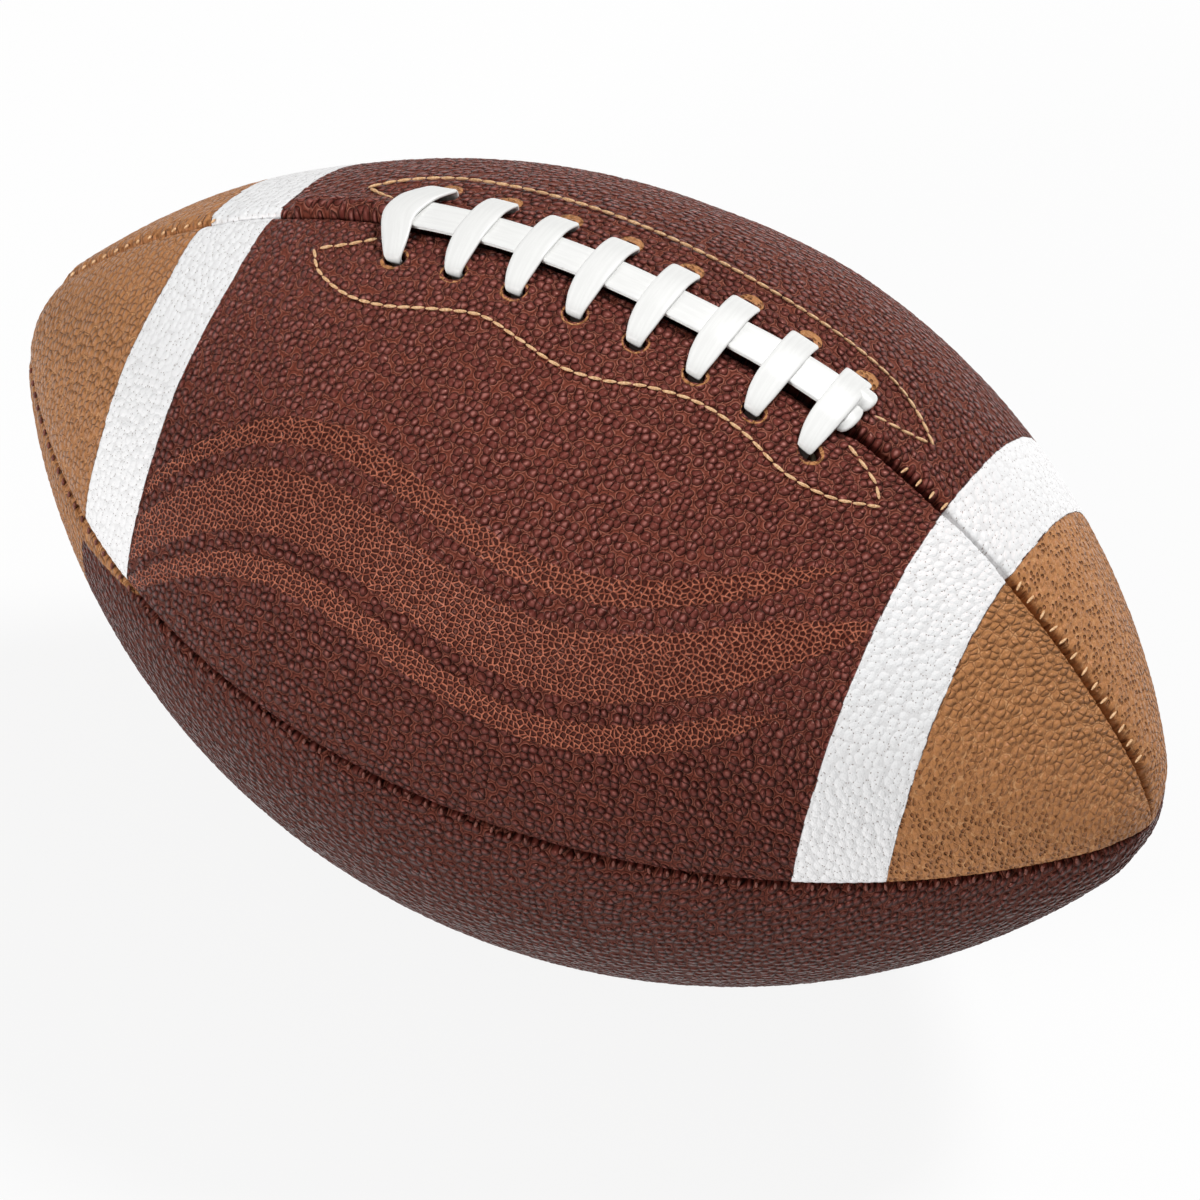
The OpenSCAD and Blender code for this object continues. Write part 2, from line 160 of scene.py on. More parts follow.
def addNode(tree, kind, settings=None, values=None):
    node = tree.nodes.new(kind)
    for key, value in (settings or {}).items():
        setattr(node, key, value)
    for key, value in (values or {}).items():
        socket = node.inputs[key]
        if isinstance(value, bpy.types.NodeSocket):
            tree.links.new(value, socket)
        else:
            socket.default_value = value
    return node


def calc(tree, operation, *values):
    node = addNode(tree, "ShaderNodeMath", {"operation": operation}, dict(enumerate(values)))
    return node.outputs[0]


def smoothStep(tree, value, low, high, atLow=0.0, atHigh=1.0):
    return addNode(tree, "ShaderNodeMapRange", {"interpolation_type": "SMOOTHSTEP"}, {
        "Value": value, "From Min": low, "From Max": high, "To Min": atLow, "To Max": atHigh}).outputs[0]


def blendColors(tree, share, first, second):
    node = addNode(tree, "ShaderNodeMix", {"data_type": "RGBA"}, {0: share, 6: first, 7: second})
    return node.outputs[2]


def blendNumbers(tree, share, first, second):
    node = addNode(tree, "ShaderNodeMix", {"data_type": "FLOAT"}, {0: share, 2: first, 3: second})
    return node.outputs[0]


def splitVector(tree, vector):
    return addNode(tree, "ShaderNodeSeparateXYZ", None, {0: vector}).outputs


def cells(tree, feature, place, size, randomness):
    return addNode(tree, "ShaderNodeTexVoronoi", {"voronoi_dimensions": "2D", "feature": feature},
                   {"Vector": place, "Scale": 1 / size, "Randomness": randomness})


def noise(tree, place, size, detail=2.0, dimensions="2D"):
    return addNode(tree, "ShaderNodeTexNoise", {"noise_dimensions": dimensions},
                   {"Vector": place, "Scale": 1 / size, "Detail": detail})


def newMaterial(name):
    material = bpy.data.materials.new(name)
    material.use_nodes = True
    return material, material.node_tree, material.node_tree.nodes["Principled BSDF"]


def addBump(tree, shader, height, strength, depth):
    bump = addNode(tree, "ShaderNodeBump", None,
                   {"Height": height, "Strength": strength, "Distance": depth * mm})
    tree.links.new(bump.outputs[0], shader.inputs["Normal"])


# the pebbled grain, read by the mesh and by the material from the same map in mm
grain = {
    "pebble": 2.3,        # mm from one pebble to the next
    "pit": 1.5,           # mm from one pit to the next in the tan ends
    "mesh": 1.35,         # mm from one opening to the next in the stripes' net of ridges
    "finer": 0.0008,      # per mm along the ball, so that the grain is finer towards the tips
    "narrower": 1.05,     # how much finer it is across a panel than along it
    "randomness": 0.72, "pitRandomness": 0.66, "meshRandomness": 0.85,
    "drift": 3.2, "driftReach": 0.9,           # mm, how slowly and how far the rows of pebbles wander
    "pebbleRim": 0.47, "pebbleSpread": 0.12,   # share of the spacing where a pebble ends, and how it varies
    "roundness": 2.2, "valleyFloor": 0.25,     # the dome's power, and the height between pebbles
    "pitRange": (0.14, 0.42),                  # share of the spacing from a pit's bottom to its edge
    "netRange": (0.06, 0.3),                   # and from a ridge's top to its foot
    "meshDepth": 0.3,     # mm
    "paintedRelief": 0.16,     # share of the relief that is left under the white paint
    "tanRelief": (0.85, 1.0),  # and in the tan, at the left and the right end
    "leftToRight": (-30.0, 30.0),              # mm along the ball from what holds at the left to the right
    "pittedAcross": (-16.0, 12.0, 1.0, 0.15),  # mm across the panel, and the share of pits at each
    "pittedAlong": (0.5, 1.0),                 # share of pits at the left and the right end
    "paintJitter": 0.22,       # mm by which the paint's edge steps from one pebble to the next
    "paintEdge": 0.1, "stripeEdge": 0.22,      # mm that an edge is soft to each side
    "stripeJitter": 2.2,       # how much more the stripes' edges step
}


def grainNodes(tree, place, paint):
    # place is the grain map in mm, paint holds the signed distances to white, tan and stripe
    drift = noise(tree, place, grain["drift"], 1.0)
    shifted = addNode(tree, "ShaderNodeVectorMath", {"operation": "SUBTRACT"},
                      {0: drift.outputs[1], 1: (0.5, 0.5, 0.5)})
    reach = (grain["driftReach"], grain["driftReach"], 0)
    moved = addNode(tree, "ShaderNodeVectorMath", {"operation": "MULTIPLY_ADD"},
                    {0: shifted.outputs[0], 1: reach, 2: place}).outputs[0]
    pebble = cells(tree, "F1", moved, grain["pebble"], grain["randomness"])
    pebbleEdge = cells(tree, "DISTANCE_TO_EDGE", moved, grain["pebble"], grain["randomness"])
    pits = cells(tree, "F1", moved, grain["pit"], grain["pitRandomness"])
    chance = splitVector(tree, pebble.outputs["Color"])
    jitter = calc(tree, "MULTIPLY", calc(tree, "SUBTRACT", chance[0], 0.5), grain["paintJitter"])
    distances = splitVector(tree, paint)
    soft, stripeSoft = grain["paintEdge"], grain["stripeEdge"]
    white = smoothStep(tree, calc(tree, "ADD", distances[0], jitter), -soft, soft)
    tan = smoothStep(tree, calc(tree, "ADD", distances[1], jitter), -soft, soft)
    stripe = calc(tree, "MULTIPLY_ADD", jitter, grain["stripeJitter"], distances[2])
    stripe = smoothStep(tree, stripe, -stripeSoft, stripeSoft)
    edge = pebbleEdge.outputs["Distance"]
    # how far out on its own pebble a place is, 1 at the rim
    rim = calc(tree, "MULTIPLY_ADD", chance[1], grain["pebbleSpread"], grain["pebbleRim"])
    out = calc(tree, "DIVIDE", pebble.outputs["Distance"], rim)
    dome = calc(tree, "POWER", calc(tree, "MINIMUM", out, 1.0), grain["roundness"])
    dome = calc(tree, "SUBTRACT", 1.0, dome)
    dome = calc(tree, "MULTIPLY_ADD", dome, 1 - grain["valleyFloor"], grain["valleyFloor"])
    # a crease where two pebbles meet, except under the white paint, and pebbles of unlike height
    creased = smoothStep(tree, edge, 0.0, 0.07, 0.45, 1.0)
    dome = calc(tree, "MULTIPLY", dome, calc(tree, "MAXIMUM", creased, white))
    dome = calc(tree, "MULTIPLY", dome, smoothStep(tree, chance[2], 0.0, 1.0, 0.72, 1.0))
    # in the stripes and the tan ends the grain is turned over: a net of ridges, and small pits
    meshEdge = cells(tree, "DISTANCE_TO_EDGE", moved, grain["mesh"], grain["meshRandomness"])
    net = smoothStep(tree, meshEdge.outputs["Distance"], *grain["netRange"], 1.0, 0.0)
    pitChance = splitVector(tree, pits.outputs["Color"])[0]
    pit = calc(tree, "MULTIPLY", smoothStep(tree, pits.outputs["Distance"], *grain["pitRange"], 1.0, 0.0),
               smoothStep(tree, pitChance, 0.2, 0.9, 0.1, 1.0))
    # the tan ends are pitted low on the front panel and by the lace seam, and more so at the right end
    around = splitVector(tree, place)
    pitShare = calc(tree, "MULTIPLY", smoothStep(tree, around[1], *grain["pittedAcross"]),
                    smoothStep(tree, around[0], *grain["leftToRight"], *grain["pittedAlong"]))
    ridge = blendNumbers(tree, stripe, calc(tree, "SUBTRACT", 1.0, pit), net)
    tanPits = calc(tree, "MULTIPLY", calc(tree, "MULTIPLY", tan, pitShare), 0.8)
    pitted = calc(tree, "MAXIMUM", stripe, tanPits)
    height = blendNumbers(tree, pitted, dome, calc(tree, "MULTIPLY_ADD", ridge, 0.6, 0.3))
    calm = smoothStep(tree, around[0], *grain["leftToRight"], *grain["tanRelief"])
    calm = blendNumbers(tree, tan, 1.0, calm)
    calm = blendNumbers(tree, white, calm, grain["paintedRelief"])
    height = calc(tree, "SUBTRACT", 1.0, calc(tree, "MULTIPLY", calc(tree, "SUBTRACT", 1.0, height), calm))
    return {"height": height, "edge": edge, "out": out, "ridge": ridge, "pitShare": pitShare,
            "chance": chance[2], "white": white, "tan": tan, "stripe": stripe, "moved": moved}


def pebbleGroup():
    tree = bpy.data.node_groups.new("pebbles", "GeometryNodeTree")
    tree.interface.new_socket("Geometry", in_out="INPUT", socket_type="NodeSocketGeometry")
    tree.interface.new_socket("Geometry", in_out="OUTPUT", socket_type="NodeSocketGeometry")
    start = tree.nodes.new("NodeGroupInput")
    end = tree.nodes.new("NodeGroupOutput")

    def named(name, kind):
        node = addNode(tree, "GeometryNodeInputNamedAttribute", {"data_type": kind}, {"Name": name})
        return node.outputs[0]

    found = grainNodes(tree, named("grain", "FLOAT_VECTOR"), named("paint", "FLOAT_VECTOR"))
    low = calc(tree, "SUBTRACT", found["height"], 1.0)
    low = calc(tree, "MULTIPLY", low, named("grainShare", "FLOAT"))
    low = calc(tree, "MULTIPLY", low, grain["meshDepth"] * mm)
    normal = tree.nodes.new("GeometryNodeInputNormal")
    push = addNode(tree, "ShaderNodeVectorMath", {"operation": "SCALE"},
                   {0: normal.outputs[0], "Scale": low})
    moved = addNode(tree, "GeometryNodeSetPosition", None,
                    {"Geometry": start.outputs[0], "Offset": push.outputs[0]})
    tree.links.new(moved.outputs[0], end.inputs[0])
    return tree


# leather
leatherLook = {
    # brown leather low on the ball and high on it: darker below and lighter above, painted shade low and
    # painted sheen high
    # a painted highlight in the middle of some pebbles' caps
    "capHighlight": ((0.2, 0.052, 0.04, 1), (0.5, 0.21, 0.18, 1)),
    "cap": ((0.082, 0.0145, 0.0102, 1), (0.2, 0.05, 0.0385, 1)),
    "capDark": ((0.046, 0.0075, 0.005, 1), (0.114, 0.024, 0.018, 1)),
    # the dark outline round the foot of each pebble is painted shadow
    "outline": ((0.012, 0.0022, 0.0014, 1), (0.03, 0.0055, 0.0038, 1)),
    "ring": ((0.17, 0.047, 0.03, 1), (0.4, 0.15, 0.104, 1)),
    "valley": ((0.064, 0.0108, 0.006, 1), (0.162, 0.037, 0.0222, 1)),
    # the crease colour is painted shade in the crevices between pebbles
    "crease": (0.014, 0.0026, 0.0017, 1), "shadedToLit": (0.05, 0.17),  # m above the floor
    "stripeRidge": (0.53, 0.17, 0.1, 1), "stripeMiddle": (0.22, 0.056, 0.033, 1),
    "stripePit": (0.05, 0.009, 0.006, 1),
    # the tan low and high on the ball: painted shade below, painted sheen above
    "tan": ((0.385, 0.172, 0.066, 1), (0.53, 0.24, 0.093, 1)),
    # the tan's rim colour is a painted highlight
    "tanRimHighlight": (0.62, 0.33, 0.155, 1), "tanPit": (0.25, 0.095, 0.034, 1),
    # the white paint's crease colour is painted shade
    "white": (0.88, 0.885, 0.89, 1), "whiteCreaseShade": (0.66, 0.66, 0.66, 1), "speck": (0.3, 0.26, 0.24, 1),
    "patch": 22, "medium": 1.3, "fine": 0.5,  # mm, the sizes of three mottles, from patches down to pores
    "specks": 1.2,                            # mm from one dark speck in the white paint to the next
    "specular": 0.34, "tint": (1, 0.48, 0.38, 1),
    "bump": 1.5,  # mm
}


def leatherMaterial():
    material, tree, shader = newMaterial("pebbledLeather")
    place = addNode(tree, "ShaderNodeUVMap", {"uv_map": "grain"}).outputs[0]
    paint = addNode(tree, "ShaderNodeAttribute", {"attribute_name": "paint"}).outputs["Vector"]
    found = grainNodes(tree, place, paint)
    look = leatherLook
    out, edge = found["out"], found["edge"]
    patchy = noise(tree, place, look["patch"], 3.0).outputs[0]
    fine = noise(tree, place, look["fine"], 2.0).outputs[0]
    medium = noise(tree, found["moved"], look["medium"], 2.0).outputs[0]
    # each colour below turns from painted shade low on the ball to painted sheen high on it
    above = splitVector(tree, addNode(tree, "ShaderNodeTexCoord").outputs["Object"])[2]
    above = smoothStep(tree, above, *look["shadedToLit"])
    browns = ("cap", "capDark", "capHighlight", "outline", "ring", "valley")
    cap, capDark, capHighlight, paintedShadowColor, ringColor, valley = (
        blendColors(tree, above, *look[key]) for key in browns)
    cap = blendColors(tree, smoothStep(tree, medium, 0.35, 0.62), capDark, cap)
    cap = blendColors(tree, smoothStep(tree, patchy, 0.35, 0.65, 0.0, 0.4), cap, capDark)
    # painted highlight: a lighter middle on some of the caps
    light = calc(tree, "MULTIPLY", smoothStep(tree, out, 0.05, 0.6, 1.0, 0.0),
                 smoothStep(tree, found["chance"], 0.2, 1.0, 0.05, 0.6))
    cap = blendColors(tree, light, cap, capHighlight)
    # from its middle outwards a pebble has its cap, a dark outline that is painted shadow round the dome's
    # foot, and a light rim that is partly the leather's own colour and partly painted light
    brown = blendColors(tree, smoothStep(tree, out, 0.7, 0.92, 0.0, 0.9), cap, paintedShadowColor)
    brown = blendColors(tree, smoothStep(tree, out, 0.98, 1.12), brown, valley)
    # the light rim: partly the leather's own lighter colour, partly painted light on the lit side of the
    # relief
    ring = calc(tree, "MULTIPLY", smoothStep(tree, out, 0.92, 1.02),
                smoothStep(tree, out, 1.06, 1.25, 1.0, 0.0))
    ring = calc(tree, "MULTIPLY", ring, smoothStep(tree, medium, 0.36, 0.6, 0.1, 0.7))
    brown = blendColors(tree, ring, brown, ringColor)
    # painted shade in the creases where two pebbles meet
    creaseShadeShare = calc(tree, "MULTIPLY", smoothStep(tree, edge, 0.0, 0.06, 1.0, 0.0),
                       smoothStep(tree, medium, 0.4, 0.6, 0.85, 0.1))
    brown = blendColors(tree, creaseShadeShare, brown, look["crease"])
    # the stripes are light along their net of ridges and dark in its openings
    ridgeShare = smoothStep(tree, medium, 0.32, 0.72)
    stripe = blendColors(tree, ridgeShare, look["stripeMiddle"], look["stripeRidge"])
    stripe = blendColors(tree, found["ridge"], look["stripePit"], stripe)
    color = blendColors(tree, found["stripe"], brown, stripe)
    # the tan is darker low on the ball and lighter high on it, painted shade and painted sheen; it is darker
    # in its pits, has painted shade along the creases between its pebbles where it isn't pitted, and a
    # painted highlight on a rim here and there
    tan = blendColors(tree, above, *look["tan"])
    tan = blendColors(tree, smoothStep(tree, fine, 0.38, 0.66, 0.0, 0.3), tan, look["tanPit"])
    smooth = calc(tree, "SUBTRACT", 1.0, found["pitShare"])
    # a painted highlight on some of the rims
    rim = calc(tree, "MULTIPLY", smoothStep(tree, out, 1.0, 1.1),
               smoothStep(tree, medium, 0.45, 0.6, 0.0, 0.7))
    tan = blendColors(tree, rim, tan, look["tanRimHighlight"])
    # painted shade along the creases where the tan isn't pitted
    tanCreaseShade = calc(tree, "MULTIPLY", smoothStep(tree, edge, 0.0, 0.1, 0.75, 0.0), smooth)
    tan = blendColors(tree, tanCreaseShade, tan, look["tanPit"])
    hollow = calc(tree, "MULTIPLY", calc(tree, "SUBTRACT", 1.0, found["ridge"]), found["pitShare"])
    tan = blendColors(tree, hollow, tan, look["tanPit"])
    color = blendColors(tree, found["tan"], color, tan)
    # the white paint is grey in its creases, painted shade, and has dark specks along them where it has
    # cracked
    creased = smoothStep(tree, out, 0.95, 1.25, 0.0, 0.45)
    white = blendColors(tree, creased, look["white"], look["whiteCreaseShade"])
    specks = cells(tree, "F1", place, look["specks"], 1.0).outputs["Distance"]
    speckShare = calc(tree, "MULTIPLY", smoothStep(tree, specks, 0.1, 0.19, 1.0, 0.0),
                      smoothStep(tree, edge, 0.06, 0.18, 0.85, 0.0))
    white = blendColors(tree, speckShare, white, look["speck"])
    color = blendColors(tree, found["white"], color, white)
    tree.links.new(color, shader.inputs["Base Color"])
    # the pebbles' caps are worn smoother than the leather between them
    rough = smoothStep(tree, fine, 0.3, 0.7, 0.28, 0.38)
    rough = blendNumbers(tree, smoothStep(tree, out, 0.7, 1.0), rough, 0.65)
    tree.links.new(rough, shader.inputs["Roughness"])
    shader.inputs["Specular IOR Level"].default_value = look["specular"]
    shader.inputs["Specular Tint"].default_value = look["tint"]
    addBump(tree, shader, calc(tree, "MULTIPLY_ADD", fine, 0.08, found["height"]), 1.0, look["bump"])
    return material


# the four panels
cover = {
    "columns": 460, "rows": 176,          # faces of the outer face
    "innerColumns": 116, "innerRows": 36,
    # how far from the seam each edge row lies, and how deep, in mm
    "edge": [(0.2, 5.8), (0.24, 3.4), (0.32, 2.2), (0.55, 1.3),
             (0.9, 0.68), (1.4, 0.28), (2.1, 0.07), (2.9, 0.0)],
    "innerEdge": [(2.55, 5.8), (2.55, 2.4)],
    "wall": 2.4,
    "narrow": 16,                         # mm of panel width below which the edges shrink with it
    "slit": 1.25, "slitHalf": 62,         # mm that the lace opening widens each edge, and half its length
    "ramp": 5,                            # mm over which one stretch of the top seam turns into the next
    "openingEnd": 12,                     # mm from the seam where a widened edge is back in place
    "valley": 0.3, "valleyWidth": 5,
    "wrinkle": 0.1, "wrinkleWidth": 2.2, "wrinkleWaves": (2.6, 1.7, 0.21),  # pitch, wander and its pace
    # the top seam by stretches along it: from, to, gap at the back and the front panel,
    # rise and folds of the back panel's lip in mm, and the share of the groove that is pressed flat
    "topSeam": [
        (-165, -108, 0.3, 0.0, 0.4, 0.15, 0.0),
        (-108, -88, 0.0, 0.0, 0.6, 0.0, 0.5),
        (-90, -46, 0.3, 0.0, 1.9, 0.5, 0.0),
        (58, 88, 0.6, 0.1, 0.9, 0.35, 0.0),
        (87, 107, 0.0, 0.0, 0.2, 0.0, 0.6),
        (106, 165, 0.2, 0.1, 0.2, 0.35, 0.0),
    ],
    "lip": (3, 4), "folds": (2, 2.6),    # mm from the seam to the middle of the lip and its folds, and width
    "foldWaves": (3.3, 1.3, 0.37),
    "flatter": (-125, 32, 45, 1.5),      # from, to, ramp and depth in mm of the back panel's flatter stretch
    # how far in mm the white bands lie from the ball's middle, by the turn in degrees from the lace
    "bandLeft": [(-90, 91.8), (-65, 92.2), (-45, 93.4), (-20, 93.7), (-4, 95.4)],
    "bandLeftBack": [(0, 95), (18, 94.2), (50, 92), (90, 91)],
    "bandRight": [(-90, 93.8), (-65, 94), (-50, 93.5), (-36, 92.9), (-20, 92),
                  (0, 91.3), (15, 90.5), (50, 87), (90, 87)],
    "bandHalf": 8.6,
    # the narrow wedge of tan below the front seam: its tip, its slope, the full tan end, its last turn
    "wedge": {"tip": 78, "slope": 0.22, "end": 101, "turn": -135},
    # the stripes' upper and lower line, as turns in degrees at even steps from -80 to 80 mm, and
    # each stripe's share of the way between them
    "stripeTop": (-59.5, -39.39, -44.2, -40.71, -15.5),
    "stripeLow": (-88.7, -67.36, -70.2, -70.36, -52.7),
    "stripeReach": 80,
    "stripes": [(0.0, 0.16), (0.31, 0.7), (0.83, 1.0)],
    "stripeThins": (60, 86, 6), "stripeEnd": 83,  # mm, where and how much they thin out at the right
    "unpainted": -50.0,                  # mm, far outside all paint
}
lacing = {
    "count": 8, "pitch": 15.3, "hole": 4.6, "shift": 1,
    "openShares": (1.12, 0.94, 1),   # the holes stand open along the seam
    "holeAway": 12.1, "frontHoleShift": 0.9,
    "frontRim": 3.15,                # how far the bare leather round a front hole reaches
    "rim": 3.0, "rimRise": 0.5,      # the bare rim behind each back hole
    "rimAway": 14.8, "rimShift": 0.3,
    "cutDepth": 14, "cutSink": 1.5,  # the cutter's length, and how far its middle lies under the seam
}
valveHole = {"turn": 135, "radius": 4.1, "cutDepth": 16, "cutSink": 1.0}  # degrees from the lace seam, mm
holeStations = [lacing["shift"] + (i - (lacing["count"] - 1) / 2) * lacing["pitch"]
                for i in range(lacing["count"])]


def hump(away, middle, width):
    return np.exp(-((away - middle) / width) ** 2)


def waves(along, pitch, wander, pace):
    # waves along a seam, with a spacing that wanders
    return np.sin(along * 2 * math.pi / pitch + wander * np.sin(along * pace))


def edgeRows(piece, rows, table, baseDepth):
    # turns a flat grid's own coordinates into a place along the outline and across the panel
    flat = vertexPlaces(piece)
    along = flat[:, 0] * 2 * outlineReach
    row = np.rint((flat[:, 1] + 0.5) * rows)
    x, r = outline(along)[:2]
    width = r * math.pi / 2
    shrink = np.clip(width / cover["narrow"], 0, 1)
    fromEdge = np.minimum(row, rows - row).astype(int)
    last = len(table) - 1
    edgeRow = np.minimum(fromEdge, last)
    onEdge = fromEdge <= last
    ahead, deep = np.array(table).T
    edgeEnd = ahead[last] * shrink
    middle = edgeEnd + (fromEdge - last) / (rows / 2 - last) * (width / 2 - edgeEnd)
    return {
        "along": along, "x": x, "width": width, "shrink": shrink, "farHalf": row > rows / 2,
        "away": np.where(onEdge, ahead[edgeRow] * shrink, middle),
        "depth": baseDepth + np.where(onEdge, (deep[edgeRow] - baseDepth) * shrink, 0),
    }


def openTopSeam(lay, atBack, outer):
    # draws the edge back along the lace's slit, and lifts, folds or flattens it by stretches
    along, away, depth = lay["along"], lay["away"], lay["depth"]
    nearTop = ~lay["farHalf"] if atBack else lay["farHalf"]
    ramp, slitHalf = cover["ramp"], cover["slitHalf"]
    opening = cover["slit"] * smoothShare(np.abs(along - lacing["shift"]), slitHalf, slitHalf - ramp)
    for low, high, backGap, frontGap, rise, fold, flat in cover["topSeam"]:
        share = smoothShare(along, low, low + ramp) * smoothShare(along, high, high - ramp)
        opening = opening + share * (backGap if atBack else frontGap)
        if outer:
            depth = depth * (1 - share * nearTop * flat)
        if outer and atBack:
            depth = depth - share * nearTop * rise * hump(away, *cover["lip"])
            wave = waves(along, *cover["foldWaves"])
            depth = depth + share * nearTop * fold * wave * hump(away, *cover["folds"])
    lay["depth"] = depth
    lay["away"] = away + np.where(nearTop, opening * np.clip(1 - away / cover["openingEnd"], 0, 1), 0)


def layPanel(piece, rows, table, baseDepth, fromAngle, topSide, outer):
    lay = edgeRows(piece, rows, table, baseDepth)
    if topSide:
        openTopSeam(lay, topSide == "start", outer)
    along, away, width, depth = lay["along"], lay["away"], lay["width"], lay["depth"]
    across = np.where(lay["farHalf"], width - away, away)
    share = across / np.maximum(width, 1e-6)
    if outer and topSide == "start":
        depth = depth - lacing["rimRise"] * smoothShare(rimShare(along, away), 0, 0.6) * ~lay["farHalf"]
        # the back panel is a little flatter from its left shoulder to past the middle
        low, high, ramp, flat = cover["flatter"]
        flatter = flat * smoothShare(along, low, low + ramp) * smoothShare(along, high, high - ramp)
        depth = depth + flatter * np.sin(share * math.pi) ** 2
    if outer:
        depth = depth + cover["valley"] * lay["shrink"] * hump(away, 0, cover["valleyWidth"])
        wrinkled = hump(away, 0, cover["wrinkleWidth"]) * (away > 0.5)
        depth = depth + cover["wrinkle"] * lay["shrink"] * waves(along, *cover["wrinkleWaves"]) * wrinkled
    lay["angle"] = fromAngle + share * math.pi / 2
    lay["across"] = across - width / 2
    setVertexPlaces(piece, ballPoint(along, lay["angle"], -depth))
    return lay


def fromTable(degrees, table):
    return np.interp(degrees, *zip(*table))


def stripeField(x, degrees, width):
    # each line is the smooth curve through its five turns
    steps = np.linspace(-1, 1, len(cover["stripeTop"]))
    top, low = (np.polyval(np.polyfit(steps, cover[key], len(steps) - 1), x / cover["stripeReach"])
                for key in ("stripeTop", "stripeLow"))
    between = np.maximum(top - low, 1)
    place = (top - degrees) / between
    scale = between * math.pi / 180 * width * 2 / math.pi
    inside = np.max([np.minimum(place - first, second - place) for first, second in cover["stripes"]], axis=0)
    thinsFrom, thinsTo, thinner = cover["stripeThins"]
    stripe = np.maximum(inside * scale, cover["unpainted"]) - thinner * smoothShare(x, thinsFrom, thinsTo)
    return np.minimum(stripe, cover["stripeEnd"] - np.abs(x))


def paintFields(name, lay):
    # signed distances in mm to the white band, the tan end and the three stripes, inside above zero
    along, x, away = lay["along"], lay["x"], lay["away"]
    degrees = np.degrees(lay["angle"])
    far = np.full_like(x, cover["unpainted"])
    white, tan, stripe = far, far, far
    reach = np.abs(x)
    if name in ("panelFrontTop", "panelBackTop"):
        left = cover["bandLeft"] if name == "panelFrontTop" else cover["bandLeftBack"]
        middle = np.where(x < 0, fromTable(degrees, left), fromTable(degrees, cover["bandRight"]))
        white = cover["bandHalf"] - np.abs(reach - middle)
        tan = reach - middle - cover["bandHalf"]
    if name == "panelFrontBottom":
        # the tan end runs on along the seam as a narrow wedge
        wedge = cover["wedge"]
        past = -x - wedge["tip"]
        strip = np.minimum(past, wedge["slope"] * past - away)
        tan = np.maximum(-x - wedge["end"], np.where(degrees > wedge["turn"], strip, far))
    if name == "panelBackTop":
        tan = np.maximum(tan, np.where(degrees < 45, rimShare(along, away) * lacing["rim"], far))
    if name == "panelFrontTop":
        stripe = stripeField(x, degrees, lay["width"])
        # a thin bare rim round each front hole
        nearest = nearestHole(along - lacing["frontHoleShift"], away - lacing["holeAway"])
        tan = np.maximum(tan, np.where(degrees > -45, lacing["frontRim"] - nearest, far))
    return np.stack([white, tan, stripe], axis=-1)


def nearestHole(along, aside):
    return np.min([np.hypot(along - s, aside) for s in holeStations], axis=0)


def rimShare(along, away):
    # 1 in the middle of the bare rim behind each back hole, 0 at its edge
    nearest = nearestHole(along + lacing["rimShift"], away - lacing["rimAway"])
    return np.maximum(1 - nearest / lacing["rim"], -20)


def setAttributes(piece, lay, fields, share):
    data = piece.data
    layer = data.uv_layers[0]
    layer.name = "grain"
    corners = np.empty(len(data.loops), np.int32)
    data.loops.foreach_get("vertex_index", corners)
    finer = 1 + grain["finer"] * np.abs(lay["along"])
    places = np.stack([lay["along"] * finer, lay["across"] * grain["narrower"]], axis=-1)[corners]
    layer.data.foreach_set("uv", places.astype(np.float32).ravel())
    paint = data.attributes.new("paint", "FLOAT_VECTOR", "POINT")
    paint.data.foreach_set("vector", fields.astype(np.float32).ravel())
    shareData = data.attributes.new("grainShare", "FLOAT", "POINT")
    shareData.data.foreach_set("value", share.astype(np.float32))


def addGrid(name, columns, rows):
    deselectAll()
    bpy.ops.mesh.primitive_grid_add(x_subdivisions=columns, y_subdivisions=rows, size=1)
    piece = bpy.context.object
    piece.name = name
    return piece


def leatherPanel(name, fromDegrees, topSide, group):
    fromAngle = math.radians(fromDegrees)
    outer = addGrid(name, cover["columns"], cover["rows"])
    lay = layPanel(outer, cover["rows"], cover["edge"], 0, fromAngle, topSide, True)
    setAttributes(outer, lay, paintFields(name, lay), smoothShare(lay["away"], 0.3, 1.6))
    inner = addGrid(name + "Inner", cover["innerColumns"], cover["innerRows"])
    lay = layPanel(inner, cover["innerRows"], cover["innerEdge"], cover["wall"], fromAngle, topSide, False)
    count = len(lay["along"])
    setAttributes(inner, lay, np.full((count, 3), cover["unpainted"]), np.zeros(count))
    inner.data.flip_normals()
    panel = joinPieces([outer, inner], name)
    bpy.ops.object.mode_set(mode="EDIT")
    bpy.ops.mesh.select_mode(type="EDGE")
    bpy.ops.mesh.select_all(action="SELECT")
    bpy.ops.mesh.remove_doubles(threshold=2e-6)
    bpy.ops.mesh.select_all(action="DESELECT")
    bpy.ops.mesh.select_non_manifold(extend=False, use_wire=False, use_boundary=True, use_multi_face=False,
                                     use_non_contiguous=False, use_verts=False)
    bpy.ops.mesh.bridge_edge_loops()
    bpy.ops.mesh.select_all(action="SELECT")
    bpy.ops.mesh.normals_make_consistent(inside=False)
    bpy.ops.object.mode_set(mode="OBJECT")
    bpy.ops.object.shade_smooth()
    modifier = panel.modifiers.new("pebbles", "NODES")
    modifier.node_group = group
    bpy.ops.object.modifier_apply(modifier=modifier.name)
    print(name, len(panel.data.polygons), "faces")
    return panel


def cutHoles(panel, side):
    cutters = []
    shift = lacing["frontHoleShift"] if side < 0 else 0
    for s in holeStations:
        at = overSeam(s + shift, side * lacing["holeAway"], -lacing["cutSink"])
        deselectAll()
        bpy.ops.mesh.primitive_cylinder_add(
            vertices=32, radius=lacing["hole"] / 2 * mm, depth=lacing["cutDepth"] * mm,
            location=at, rotation=(0, s / bellyR, 0))
        hole = bpy.context.object
        hole.scale = lacing["openShares"]
        cutters.append(hole)
    cutFrom(panel, joinPieces(cutters, "holeCutter"))


